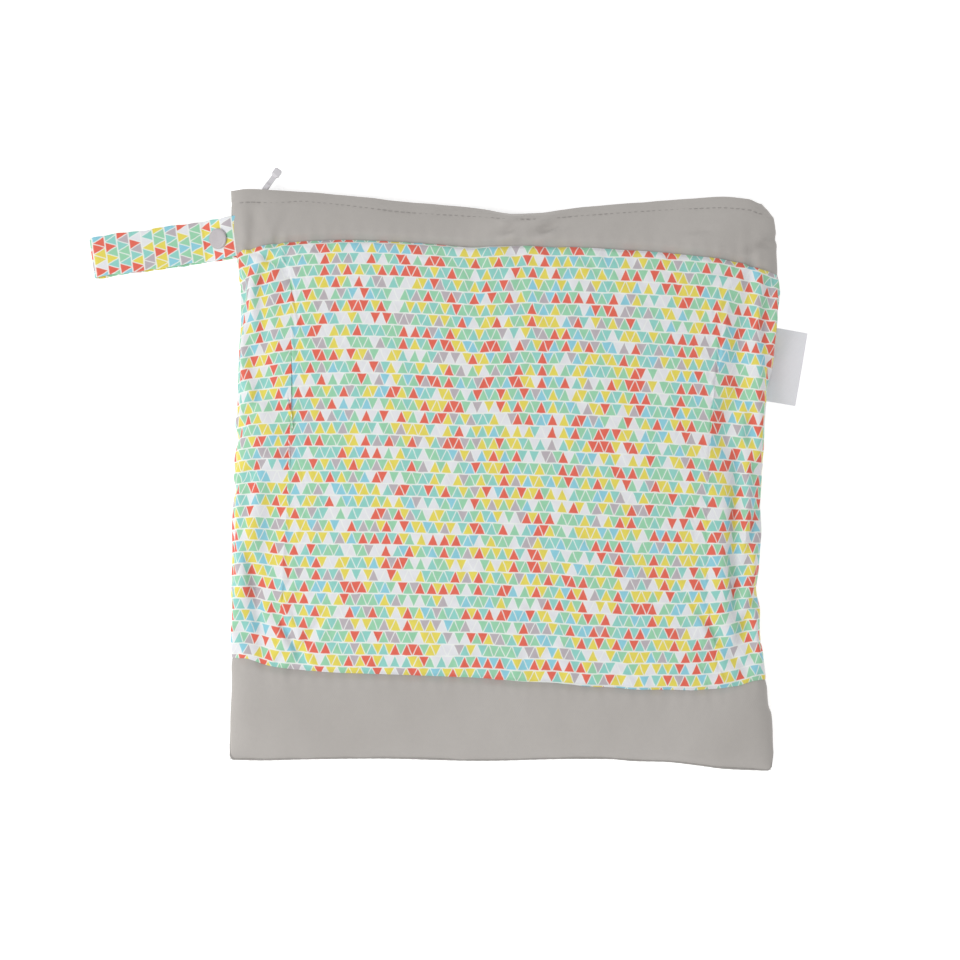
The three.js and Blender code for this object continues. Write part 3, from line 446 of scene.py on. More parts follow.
    def columns(self, roll_cuts: int, crown: Array) -> Array:
        """Returns places across the front: even over each roll, at the given shares over the crown.

        Args:
            roll_cuts: How many cuts each roll has.
            crown: Places over the crown, as shares from 0 to 1.

        Returns:
            The places, counted in columns from the left seam.
        """
        rolls, last = self.roll_rows, self.last_column
        left = np.linspace(0, rolls, roll_cuts, endpoint=False)
        right = np.linspace(last - rolls, last, roll_cuts + 1)
        return np.concatenate([left, rolls + self.crown_rows * crown, right])

    def side_seam_x(self, side: int, down: Array) -> Array:
        """Returns where a side seam lies, which is in under the roll."""
        column = np.zeros_like(down) + (0 if side < 0 else self.last_column)
        return self.point(column, down)[..., 0]

    def fold_press(self, points: Array, column: Array, down: Array) -> Array:
        """Returns how far the broad folds press in at each point.

        Args:
            points: Points of the front.
            column: Their places across the front, in columns.
            down: Their shares of the way down the bag.

        Returns:
            A depth for each point.
        """
        x = points[..., 0] / self.half
        press = np.zeros_like(x)
        for across, place, wide, long, deep in FOLDS:
            press += deep * np.exp(-0.5 * (((x - across) / wide) ** 2 + ((down - place) / long) ** 2))
        near = np.minimum(column, self.last_column - column)
        from_side = np.clip(ROLL_UP(np.minimum(near, self.roll_rows)) * 2, 0, 1)
        from_ends = np.clip(down / 0.03, 0, 1) * np.clip((1 - down) / 0.04, 0, 1)
        return self.fold_depth * press * from_side * from_ends

    def crease_press(self, points: Array) -> Array:
        """Returns how far the narrow creases press in at each point.

        Args:
            points: Points of the front.

        Returns:
            A depth for each point.
        """
        press = np.zeros(points.shape[:-1])
        for crease in CREASES:
            x = crease.across * self.half
            y = self.top - crease.down * self.length
            turn = math.radians(crease.heading)
            off_x = points[..., 0] - x
            off_y = points[..., 1] - y
            along = off_x * math.cos(turn) + off_y * math.sin(turn)
            away = (off_y * math.cos(turn) - off_x * math.sin(turn)) / crease.width
            reach = bell(along / crease.length)
            press += crease.depth * reach * (1 - away ** 2) * np.exp(-0.5 * away ** 2)
        return press


# Meshes

def add_object(name: str, data: bpy.types.ID) -> Piece:
    """Adds an object that shows the data, and returns it.

    Args:
        name: The object's name.
        data: The data that it shows.

    Returns:
        The object, linked to the scene.
    """
    made = bpy.data.objects.new(name, data)
    bpy.context.scene.collection.objects.link(made)
    return made


@contextmanager
def reshaping(mesh: bpy.types.Mesh) -> Iterator[bmesh.types.BMesh]:
    """Opens a mesh for edits and writes them back to it.

    Args:
        mesh: The mesh to change.

    Yields:
        A copy of the mesh that is open for edits.
    """
    edit = bmesh.new()
    edit.from_mesh(mesh)
    yield edit
    edit.to_mesh(mesh)
    edit.free()


class Weave:
    """Turns points into mesh objects with their cloth coordinates."""

    LAYER = "cloth"

    @classmethod
    def solid(cls, name: str, verts: Array, faces: Sequence[Sequence[int]],
              cloth: Array | None = None, sharp: float = 50.0) -> Piece:
        """Makes one mesh object.

        Args:
            name: The piece's name.
            verts: Its points.
            faces: The corners of each face.
            cloth: Place on the flat cloth for each point, in metres.
            sharp: Angle in degrees from which an edge shades sharp.

        Returns:
            The new object, linked to the scene.
        """
        mesh = bpy.data.meshes.new(name)
        mesh.from_pydata(verts.reshape(-1, 3).tolist(), [], faces)
        if cloth is not None:
            layer = mesh.uv_layers.new(name=cls.LAYER)
            corners = np.empty(len(mesh.loops), dtype=np.int32)
            mesh.loops.foreach_get("vertex_index", corners)
            layer.data.foreach_set("uv", cloth.reshape(-1, 2)[corners].astype(np.float32).ravel())
        mesh.polygons.foreach_set("use_smooth", [True] * len(mesh.polygons))
        mesh.set_sharp_from_angle(angle=math.radians(sharp))
        mesh.update()
        return add_object(name, mesh)

    @classmethod
    def sheet(cls, name: str, outer: Array, inner: Array, cloth: Array) -> Piece:
        """Makes a closed sheet from the grids of its two faces.

        Args:
            name: The piece's name.
            outer: Grid of the outer face, rows down and columns across.
            inner: Grid of the inner face.
            cloth: Place on the flat cloth for each point of a grid.

        Returns:
            The new object.
        """
        rows, columns = outer.shape[:2]
        size = rows * columns
        at = np.arange(size).reshape(rows, columns)
        a, b, c, d = at[:-1, :-1], at[1:, :-1], at[1:, 1:], at[:-1, 1:]
        front = np.stack([a, b, c, d], axis=-1).reshape(-1, 4)
        back = np.stack([a, d, c, b], axis=-1).reshape(-1, 4) + size
        rim = np.concatenate([at[0, ::-1], at[1:, 0], at[-1, 1:], at[-2:0:-1, -1]])
        after = np.roll(rim, -1)
        edge = np.stack([after, rim, rim + size, after + size], axis=-1)
        faces = np.concatenate([front, back, edge]).tolist()
        verts = np.concatenate([outer.reshape(-1, 3), inner.reshape(-1, 3)])
        return cls.solid(name, verts, faces, np.concatenate([cloth.reshape(-1, 2)] * 2), 60.0)

    @classmethod
    def rings(cls, name: str, rings: Array, cloth: Array | None = None,
              sharp: float = 50.0) -> Piece:
        """Makes a closed bar through rings of points.

        Args:
            name: The piece's name.
            rings: Points, one row for each ring.
            cloth: Place on the flat cloth for each point.
            sharp: Angle in degrees from which an edge shades sharp.

        Returns:
            The new object.
        """
        count, sides = rings.shape[:2]
        at = np.arange(count * sides).reshape(count, sides)
        nxt = np.roll(at, -1, axis=1)
        walls = np.stack([at[:-1], nxt[:-1], nxt[1:], at[1:]], axis=-1).reshape(-1, 4).tolist()
        ends = [at[0, ::-1].tolist(), at[-1].tolist()]
        made = cls.solid(name, rings, walls + ends, cloth, sharp)
        return cls.outward(made)

    @classmethod
    def tube(cls, name: str, path: Array, radius: float | Array, sides: int,
             reference: Sequence[float] = (0, 0, 1)) -> Piece:
        """Makes a round tube along a path.

        Args:
            name: The piece's name.
            path: Points of its middle line.
            radius: Its radius, one for all or one for each point.
            sides: How many sides it has.
            reference: A direction that the path never runs along.

        Returns:
            The new object.
        """
        along = unit(np.gradient(path, axis=0))
        out = unit(np.cross(along, np.array(reference, dtype=float)))
        up = np.cross(out, along)
        turn = np.linspace(0, 2 * np.pi, sides, endpoint=False)
        wide = np.broadcast_to(np.asarray(radius, dtype=float), (len(path),))[:, None, None]
        spokes = out[:, None] * np.cos(turn)[None, :, None] + up[:, None] * np.sin(turn)[None, :, None]
        length = arc_along(path[:, None], 0, 0)
        cloth = np.stack(np.broadcast_arrays(turn[None, :] * wide[:, 0] / 2, length), axis=-1)
        return cls.rings(name, path[:, None] + wide * spokes, cloth)

    @classmethod
    def turned(cls, name: str, section: Sequence[tuple[float, float]], sides: int) -> Piece:
        """Makes a turned solid about +Z from a section of radius and height pairs.

        Args:
            name: The piece's name.
            section: Pairs of a radius and a height, in order along the outline.
            sides: How many sides it has.

        Returns:
            The new object.
        """
        radii = np.array([row[0] for row in section])
        heights = np.array([row[1] for row in section])
        angle = np.linspace(0, 2 * np.pi, sides, endpoint=False)
        x = radii[:, None] * np.cos(angle)
        y = radii[:, None] * np.sin(angle)
        z = np.broadcast_to(heights[:, None], x.shape)
        made = cls.rings(name, np.stack([x, y, z], axis=-1), None, 35.0)
        with reshaping(made.data) as edit:
            bmesh.ops.remove_doubles(edit, verts=edit.verts, dist=1e-6)
        return cls.outward(made)

    @staticmethod
    def outward(made: Piece) -> Piece:
        """Turns a closed mesh's faces to point out and returns it.

        Args:
            made: An object with a closed mesh.

        Returns:
            The same object.
        """
        with reshaping(made.data) as edit:
            bmesh.ops.recalc_face_normals(edit, faces=edit.faces)
        return made

    @staticmethod
    def join(name: str, parts: Sequence[Piece]) -> Piece:
        """Joins mesh objects into one and returns it under its name.

        Args:
            name: The joined piece's name.
            parts: The objects, which are used up.

        Returns:
            The joined object.
        """
        edit = bmesh.new()
        for part in parts:
            part.data.transform(part.matrix_world)
            edit.from_mesh(part.data)
        joined = parts[0]
        edit.to_mesh(joined.data)
        edit.free()
        joined.matrix_world.identity()
        for part in parts[1:]:
            bpy.data.objects.remove(part)
        joined.name = name
        return joined


# Finishes

class Shader:
    """One node material while it is put together."""

    def __init__(self, name: str, colour: tuple[float, float, float], roughness: float) -> None:
        """Starts a material with its own colour and roughness.

        Args:
            name: The material's name.
            colour: Its red, green and blue.
            roughness: Its roughness.
        """
        self.material = bpy.data.materials.new(name)
        self.material.use_nodes = True
        self.material.diffuse_color = (*colour, 1.0)
        self.tree = self.material.node_tree
        self.bsdf = next(node for node in self.tree.nodes if node.type == "BSDF_PRINCIPLED")
        self.set(Base_Color=(*colour, 1.0), Roughness=roughness)

    def set(self, **values: float | tuple[float, ...]) -> None:
        """Sets the shader's own sockets, given by name with spaces as underscores."""
        for name, value in values.items():
            self.bsdf.inputs[name.replace("_", " ")].default_value = value

    def plug(self, socket: str, source: Socket) -> None:
        """Links a socket of the shader."""
        self.tree.links.new(source, self.bsdf.inputs[socket])

    def node(self, kind: str, **inputs: object) -> bpy.types.Node:
        """Adds a node and fills its inputs, given by name with spaces as underscores.

        Args:
            kind: The node's type.
            inputs: A socket or a value for each input.

        Returns:
            The new node.
        """
        made = self.tree.nodes.new(kind)
        for name, value in inputs.items():
            self.feed(made.inputs[name.replace("_", " ")], value)
        return made

    def feed(self, socket: Socket, value: object) -> None:
        """Links or sets one input.

        Args:
            socket: The input.
            value: A socket to link or a value to set.
        """
        if isinstance(value, Socket):
            self.tree.links.new(value, socket)
        else:
            socket.default_value = value

    def sum(self, operation: str, *values: object) -> Socket:
        """Adds a maths node and returns its result.

        Args:
            operation: What the node does.
            values: Its inputs, as sockets or numbers.

        Returns:
            The node's result.
        """
        made = self.tree.nodes.new("ShaderNodeMath")
        made.operation = operation
        for socket, value in zip(made.inputs, values):
            self.feed(socket, value)
        return made.outputs[0]

    def blend(self, share: object, a: object, b: object, how: str = "MIX") -> Socket:
        """Mixes two colours and returns the result.

        Args:
            share: How much of the second colour is taken.
            a: The first colour.
            b: The second colour.
            how: The kind of blend.

        Returns:
            The mixed colour.
        """
        made = self.tree.nodes.new("ShaderNodeMix")
        made.data_type = "RGBA"
        made.blend_type = how
        self.feed(made.inputs[0], share)
        self.feed(made.inputs[6], a)
        self.feed(made.inputs[7], b)
        return made.outputs[2]

    def grade(self, value: object, low: float, high: float, out_low: float, out_high: float,
              smooth: bool = False) -> Socket:
        """Maps a value from one range to another and returns it.

        Args:
            value: The value to map.
            low: Start of its range.
            high: End of its range.
            out_low: What the start turns into.
            out_high: What the end turns into.
            smooth: Whether the change eases in and out.

        Returns:
            The mapped value.
        """
        made = self.node("ShaderNodeMapRange", Value=value, From_Min=low, From_Max=high,
                         To_Min=out_low, To_Max=out_high)
        made.interpolation_type = "SMOOTHSTEP" if smooth else "LINEAR"
        return made.outputs[0]

    def cloth_place(self) -> tuple[Socket, Socket, Socket]:
        """Returns the place on the flat cloth as a vector, its width part and its length part.

        Returns:
            The vector and its two parts.
        """
        place = self.tree.nodes.new("ShaderNodeUVMap")
        place.uv_map = Weave.LAYER
        parts = self.node("ShaderNodeSeparateXYZ", Vector=place.outputs[0])
        return place.outputs[0], parts.outputs[0], parts.outputs[1]

    def object_place(self) -> Socket:
        """Returns the place in the piece's own frame."""
        return self.tree.nodes.new("ShaderNodeTexCoord").outputs["Object"]

    def noise(self, place: object, scale: float, detail: float = 2.0, roughness: float = 0.5
              ) -> Socket:
        """Returns soft noise at a scale in waves per metre."""
        return self.node("ShaderNodeTexNoise", Vector=place, Scale=scale, Detail=detail,
                         Roughness=roughness).outputs[0]

    def wave(self, value: object, pitch: float) -> Socket:
        """Returns an even wave from 0 to 1 along a value, with a pitch in metres."""
        turns = self.sum("MULTIPLY", value, 2 * math.pi / pitch)
        return self.sum("MULTIPLY_ADD", self.sum("SINE", turns), 0.5, 0.5)

    def bump(self, height: object, depth: float, strength: float = 1.0,
             under: Socket | None = None) -> Socket:
        """Returns a normal raised by a height, of a depth in metres.

        Args:
            height: The relief.
            depth: How far a height of 1 stands up, in metres.
            strength: How strongly it shows.
            under: A normal that it is laid on.

        Returns:
            The raised normal.
        """
        made = self.node("ShaderNodeBump", Height=height, Distance=depth, Strength=strength)
        if under is not None:
            self.feed(made.inputs["Normal"], under)
        return made.outputs[0]

    def knit(self, u: object, v: object, pitch: float) -> Socket:
        """Returns the fine relief of a knitted face.

        Args:
            u: Place along the cloth's width.
            v: Place along its length.
            pitch: Width of one stitch, in metres.

        Returns:
            The height of the relief.
        """
        across = self.wave(self.sum("ADD", u, self.sum("MULTIPLY", v, 0.5)), pitch)
        along = self.wave(self.sum("SUBTRACT", u, self.sum("MULTIPLY", v, 0.5)), pitch)
        return self.sum("MULTIPLY", across, along)


@dataclass(frozen=True)
class PlainCloth:
    """The plain grey knit, soft and slightly mottled."""

    name: str = "grey_knit"
    colour: tuple[float, float, float] = (0.430, 0.407, 0.385)
    shade: tuple[float, float, float] = (0.372, 0.350, 0.329)
    light: tuple[float, float, float] = (0.478, 0.455, 0.432)
    knit_pitch: float = 0.0011
    knit_depth: float = 0.00005

    def build(self) -> Material:
        """Returns the finish as a material.

        Returns:
            The plain cloth's material.
        """
        shader = Shader(self.name, self.colour, 0.88)
        place, u, v = shader.cloth_place()
        broad = shader.noise(place, 13, 2.0, 0.5)
        mottle = shader.noise(place, 320, 4.0, 0.65)
        dark = shader.blend(shader.grade(broad, 0.35, 0.65, 0.0, 1.0), (*self.shade, 1), (*self.light, 1))
        even = shader.blend(0.3, (*self.colour, 1), dark)
        flecks = shader.grade(mottle, 0.3, 0.7, 0.982, 1.016)
        tone = shader.node("ShaderNodeCombineColor", Red=flecks, Green=flecks, Blue=flecks).outputs[0]
        shader.plug("Base Color", shader.blend(1.0, even, tone, "MULTIPLY"))
        knit = shader.bump(shader.knit(u, v, self.knit_pitch), self.knit_depth, 0.8)
        soft = shader.bump(shader.noise(place, 520, 3.0, 0.6), 0.00012, 0.6, knit)
        drape = shader.bump(shader.noise(place, 24, 2.0, 0.5), 0.0012, 0.30, soft)
        shader.plug("Normal", drape)
        shader.plug("Roughness", shader.grade(mottle, 0.3, 0.7, 0.82, 0.94))
        shader.set(Sheen_Weight=0.18, Sheen_Roughness=0.45, Specular_IOR_Level=0.22)
        return shader.material


@dataclass(frozen=True)
class PrintedCloth:
    """The printed knit: rows of small triangles, pointing up and down by turns."""

    name: str = "triangle_print"
    pitch: float = 0.00692
    row: float = 0.00730
    margin: float = 0.050
    base: float = 0.420
    soft: float = 0.050
    shift: tuple[float, float] = (0.0, 0.0)
    quarter_turn: bool = False
    ground: tuple[float, float, float] = (0.735, 0.742, 0.770)
    line: tuple[float, float, float] = (0.800, 0.825, 0.795)
    knit_pitch: float = 0.0011
    mint: tuple[float, float, float] = (0.295, 0.610, 0.395)
    aqua: tuple[float, float, float] = (0.260, 0.600, 0.535)
    sky: tuple[float, float, float] = (0.250, 0.575, 0.680)
    yellow: tuple[float, float, float] = (0.745, 0.640, 0.095)
    coral: tuple[float, float, float] = (0.735, 0.125, 0.080)
    lilac: tuple[float, float, float] = (0.460, 0.415, 0.445)

    def ramp(self, shader: Shader, value: Socket, up: bool) -> Socket:
        """Picks a triangle's colour from its own random value.

        Args:
            shader: The material under way.
            value: The triangle's random value, from 0 to 1.
            up: True for the triangles that point up, more of which are coral.

        Returns:
            The colour.
        """
        shares = (
            (self.mint, 0.19 if up else 0.23),
            (self.aqua, 0.15 if up else 0.18),
            (self.sky, 0.07),
            (self.yellow, 0.16 if up else 0.20),
            (self.coral, 0.23 if up else 0.10),
            (self.lilac, 0.07),
            (self.ground, 0.13),
        )
        made = shader.node("ShaderNodeValToRGB", Fac=value)
        made.color_ramp.interpolation = "CONSTANT"
        stops = made.color_ramp.elements
        while len(stops) > 1:
            stops.remove(stops[-1])
        reached = 0.0
        for index, (colour, share) in enumerate(shares):
            stop = stops[0] if index == 0 else stops.new(reached)
            stop.position = reached
            stop.color = (*colour, 1.0)
            reached += share
        return made.outputs[0]

    def cell(self, shader: Shader, column: object, row: object, seed: float) -> Socket:
        """Returns the random value of one triangle.

        Args:
            shader: The material in work.
            column: The triangle's column.
            row: The triangle's row.
            seed: A number that sets one kind of triangle apart from the other.

        Returns:
            A random number from 0 to 1.
        """
        place = shader.node("ShaderNodeCombineXYZ", X=column, Y=row, Z=seed)
        noise = shader.tree.nodes.new("ShaderNodeTexWhiteNoise")
        noise.noise_dimensions = "3D"
        shader.feed(noise.inputs["Vector"], place.outputs[0])
        return noise.outputs["Value"]

    def build(self) -> Material:
        """Returns the finish as a material.

        Returns:
            The printed cloth's material.
        """
        shader = Shader(self.name, self.mint, 0.85)
        place, u, v = shader.cloth_place()
        if self.quarter_turn:
            u, v = v, shader.sum("MULTIPLY", u, -1.0)
        wobble = shader.noise(place, 160, 2.0, 0.5)
        nudge = shader.grade(wobble, 0.2, 0.8, -0.035, 0.035)
        across = shader.sum("ADD", shader.sum("MULTIPLY_ADD", u, 1 / self.pitch, self.shift[0]), nudge)
        rows = shader.sum("ADD", shader.sum("MULTIPLY_ADD", v, 1 / self.row, self.shift[1]), nudge)
        row = shader.sum("FLOOR", rows)
        height_in = shader.sum("SUBTRACT", rows, row)
        height = shader.grade(height_in, self.margin, 1 - self.margin, 0.0, 1.0)
        in_row = shader.sum(
            "MULTIPLY",
            shader.grade(height_in, self.margin - self.soft, self.margin + self.soft, 0.0, 1.0, True),
            shader.grade(height_in, 1 - self.margin - self.soft, 1 - self.margin + self.soft, 1.0, 0.0, True),
        )
        printed = (*self.line, 1)
        for up, offset, seed in ((True, 0.0, 0.31), (False, 0.5, 0.77)):
            along = shader.sum("ADD", across, offset)
            column = shader.sum("FLOOR", along)
            off = shader.sum("ABSOLUTE", shader.sum("SUBTRACT", shader.sum("SUBTRACT", along, column), 0.5))
            slope, foot = (-self.base, self.base) if up else (self.base, 0.0)
            room = shader.sum("MULTIPLY_ADD", height, slope, foot)
            ink = shader.grade(shader.sum("SUBTRACT", room, off), -self.soft, self.soft, 0.0, 1.0, True)
            colour = self.ramp(shader, self.cell(shader, column, row, seed), up)
            printed = shader.blend(shader.sum("MULTIPLY", ink, in_row), printed, colour)
        fade = shader.grade(shader.noise(place, 420, 3.0, 0.6), 0.25, 0.75, 0.0, 0.05)
        printed = shader.blend(fade, printed, (*self.ground, 1))
        shader.plug("Base Color", printed)
        knit = shader.bump(shader.knit(u, v, self.knit_pitch), 0.00010, 0.7)
        soft = shader.bump(shader.noise(place, 300, 3.0, 0.6), 0.00016, 0.5, knit)
        shader.plug("Normal", shader.bump(shader.noise(place, 60, 2.0, 0.5), 0.0009, 0.35, soft))
        shader.plug("Roughness", shader.grade(wobble, 0.3, 0.7, 0.78, 0.9))
        shader.set(Sheen_Weight=0.12, Sheen_Roughness=0.5, Specular_IOR_Level=0.25)
        return shader.material


@dataclass(frozen=True)
class RibbedCloth:
    """A woven ribbon or tape with fine ribs across it, with painted shade in the hollows between its ribs."""

    name: str
    colour: tuple[float, float, float]
    rib: float = 0.0009
    depth: float = 0.00014
    gloss: float = 0.62

    def build(self) -> Material:
        """Returns the finish as a material.

        Returns:
            The ribbed cloth's material.
        """
        shader = Shader(self.name, self.colour, self.gloss)
        place, u, v = shader.cloth_place()
        ribs = shader.wave(u, self.rib)
        picks = shader.wave(v, self.rib * 0.6)
        weave = shader.sum("MULTIPLY", ribs, picks)
        worn = shader.noise(place, 300, 3.0, 0.6)
        darker = tuple(part * 0.86 for part in self.colour)
        # painted shade: the colour is darker where the weave's relief is low, in the hollows between its ribs
        tone = shader.blend(shader.grade(weave, 0.0, 1.0, 0.0, 1.0), (*darker, 1), (*self.colour, 1))
        shader.plug("Base Color", shader.blend(shader.grade(worn, 0.4, 0.7, 0.0, 0.25), tone, (*darker, 1)))
        shader.plug("Normal", shader.bump(weave, self.depth, 0.8))
        shader.plug("Roughness", shader.grade(worn, 0.3, 0.7, self.gloss - 0.08, self.gloss + 0.08))
        shader.set(Sheen_Weight=0.1)
        return shader.material


@dataclass(frozen=True)
class Moulded:
    """A hard moulded or enamelled finish with faint handling marks."""

    name: str
    colour: tuple[float, float, float]
    roughness: float
    coat: float = 0.0
    metallic: float = 0.0
    grain: float = 900.0

    def build(self) -> Material:
        """Returns the finish as a material.

        Returns:
            The moulded piece's material.
        """
        shader = Shader(self.name, self.colour, self.roughness)
        place = shader.object_place()
        marks = shader.noise(place, self.grain, 4.0, 0.6)
        broad = shader.noise(place, 180, 2.0, 0.5)
        worn = tuple(part * 0.9 for part in self.colour)
        shader.plug("Base Color", shader.blend(shader.grade(broad, 0.35, 0.7, 0.0, 0.6), (*self.colour, 1),
                                               (*worn, 1)))
        shader.plug("Roughness", shader.grade(marks, 0.3, 0.7, self.roughness - 0.06, self.roughness + 0.1))
        shader.plug("Normal", shader.bump(marks, 0.00004, 0.35))
        shader.set(Coat_Weight=self.coat, Coat_Roughness=0.2, Metallic=self.metallic)
        return shader.material


@dataclass(frozen=True)
class Thread:
    """Spun sewing thread with its twist, and painted shade in the twist's grooves."""

    name: str
    colour: tuple[float, float, float]

    def build(self) -> Material:
        """Returns the finish as a material.

        Returns:
            The thread's material.
        """
        shader = Shader(self.name, self.colour, 0.7)
        place, u, v = shader.cloth_place()
        twist = shader.wave(shader.sum("ADD", u, v), 0.0006)
        darker = tuple(part * 0.7 for part in self.colour)
        # painted shade: the colour is darker where the twist's relief is low, in its grooves
        shader.plug("Base Color", shader.blend(twist, (*darker, 1), (*self.colour, 1)))
        shader.plug("Normal", shader.bump(twist, 0.00008, 0.8))
        shader.set(Sheen_Weight=0.2)
        return shader.material


@dataclass
class Wardrobe:
    """Every finish of the bag, each built once."""

    def __post_init__(self) -> None:
        """Builds the materials."""
        self.grey = PlainCloth().build()
        self.print = PrintedCloth().build()
        self.strap_print = PrintedCloth(name="strap_print", shift=(0.3, 0.35), quarter_turn=True).build()
        self.tape = RibbedCloth("zip_tape_weave", (0.36, 0.34, 0.32), 0.0012).build()
        self.ribbon = RibbedCloth("label_satin", (0.930, 0.930, 0.970), 0.0007, 0.00006, 0.5).build()
        self.coil = Moulded("coil_nylon", (0.44, 0.42, 0.40), 0.42).build()
        self.enamel = Moulded("pull_enamel", (0.60, 0.585, 0.61), 0.34, 0.35).build()
        self.resin = Moulded("snap_resin", (0.470, 0.440, 0.455), 0.38, 0.1).build()
        self.thread = Thread("grey_thread", (0.33, 0.31, 0.295)).build()
        self.seam_thread = Thread("seam_binding", (0.38, 0.36, 0.34)).build()


def place_piece(piece: Piece, body: Body, slot: Slot, finish: Material,
                stands_for: Sequence[str] = ()) -> None:
    """Gives a piece its body and finish, hides the solids that it stands for, and reports it.

    Args:
        piece: The new piece.
        body: The body that it rides on.
        slot: The record's slot that its finish belongs to. It is not used.
        finish: Its material.
        stands_for: CAD nodes that it replaces.
    """
    piece.data.materials.clear()
    piece.data.materials.append(finish)
    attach(piece, body.value)
    if stands_for:
        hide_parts(*stands_for)
    log.info("%s: %d faces, rides on %s", piece.name, len(piece.data.polygons), body.value)


# The cloth panels

def weave_steps(places: Array) -> tuple[Array, Array]:
    """Returns the row under each place of an even table and the four smooth weights around it.

    Args:
        places: Places in the table, counted in rows.

    Returns:
        The rows, and the weights of the row before, the row itself and the two after.
    """
    row = np.floor(places).astype(int)
    t = places - row
    weights = np.stack([
        -0.5 * t + t ** 2 - 0.5 * t ** 3, 1 - 2.5 * t ** 2 + 1.5 * t ** 3,
        0.5 * t + 2 * t ** 2 - 1.5 * t ** 3, -0.5 * t ** 2 + 0.5 * t ** 3,
    ])
    return row, weights


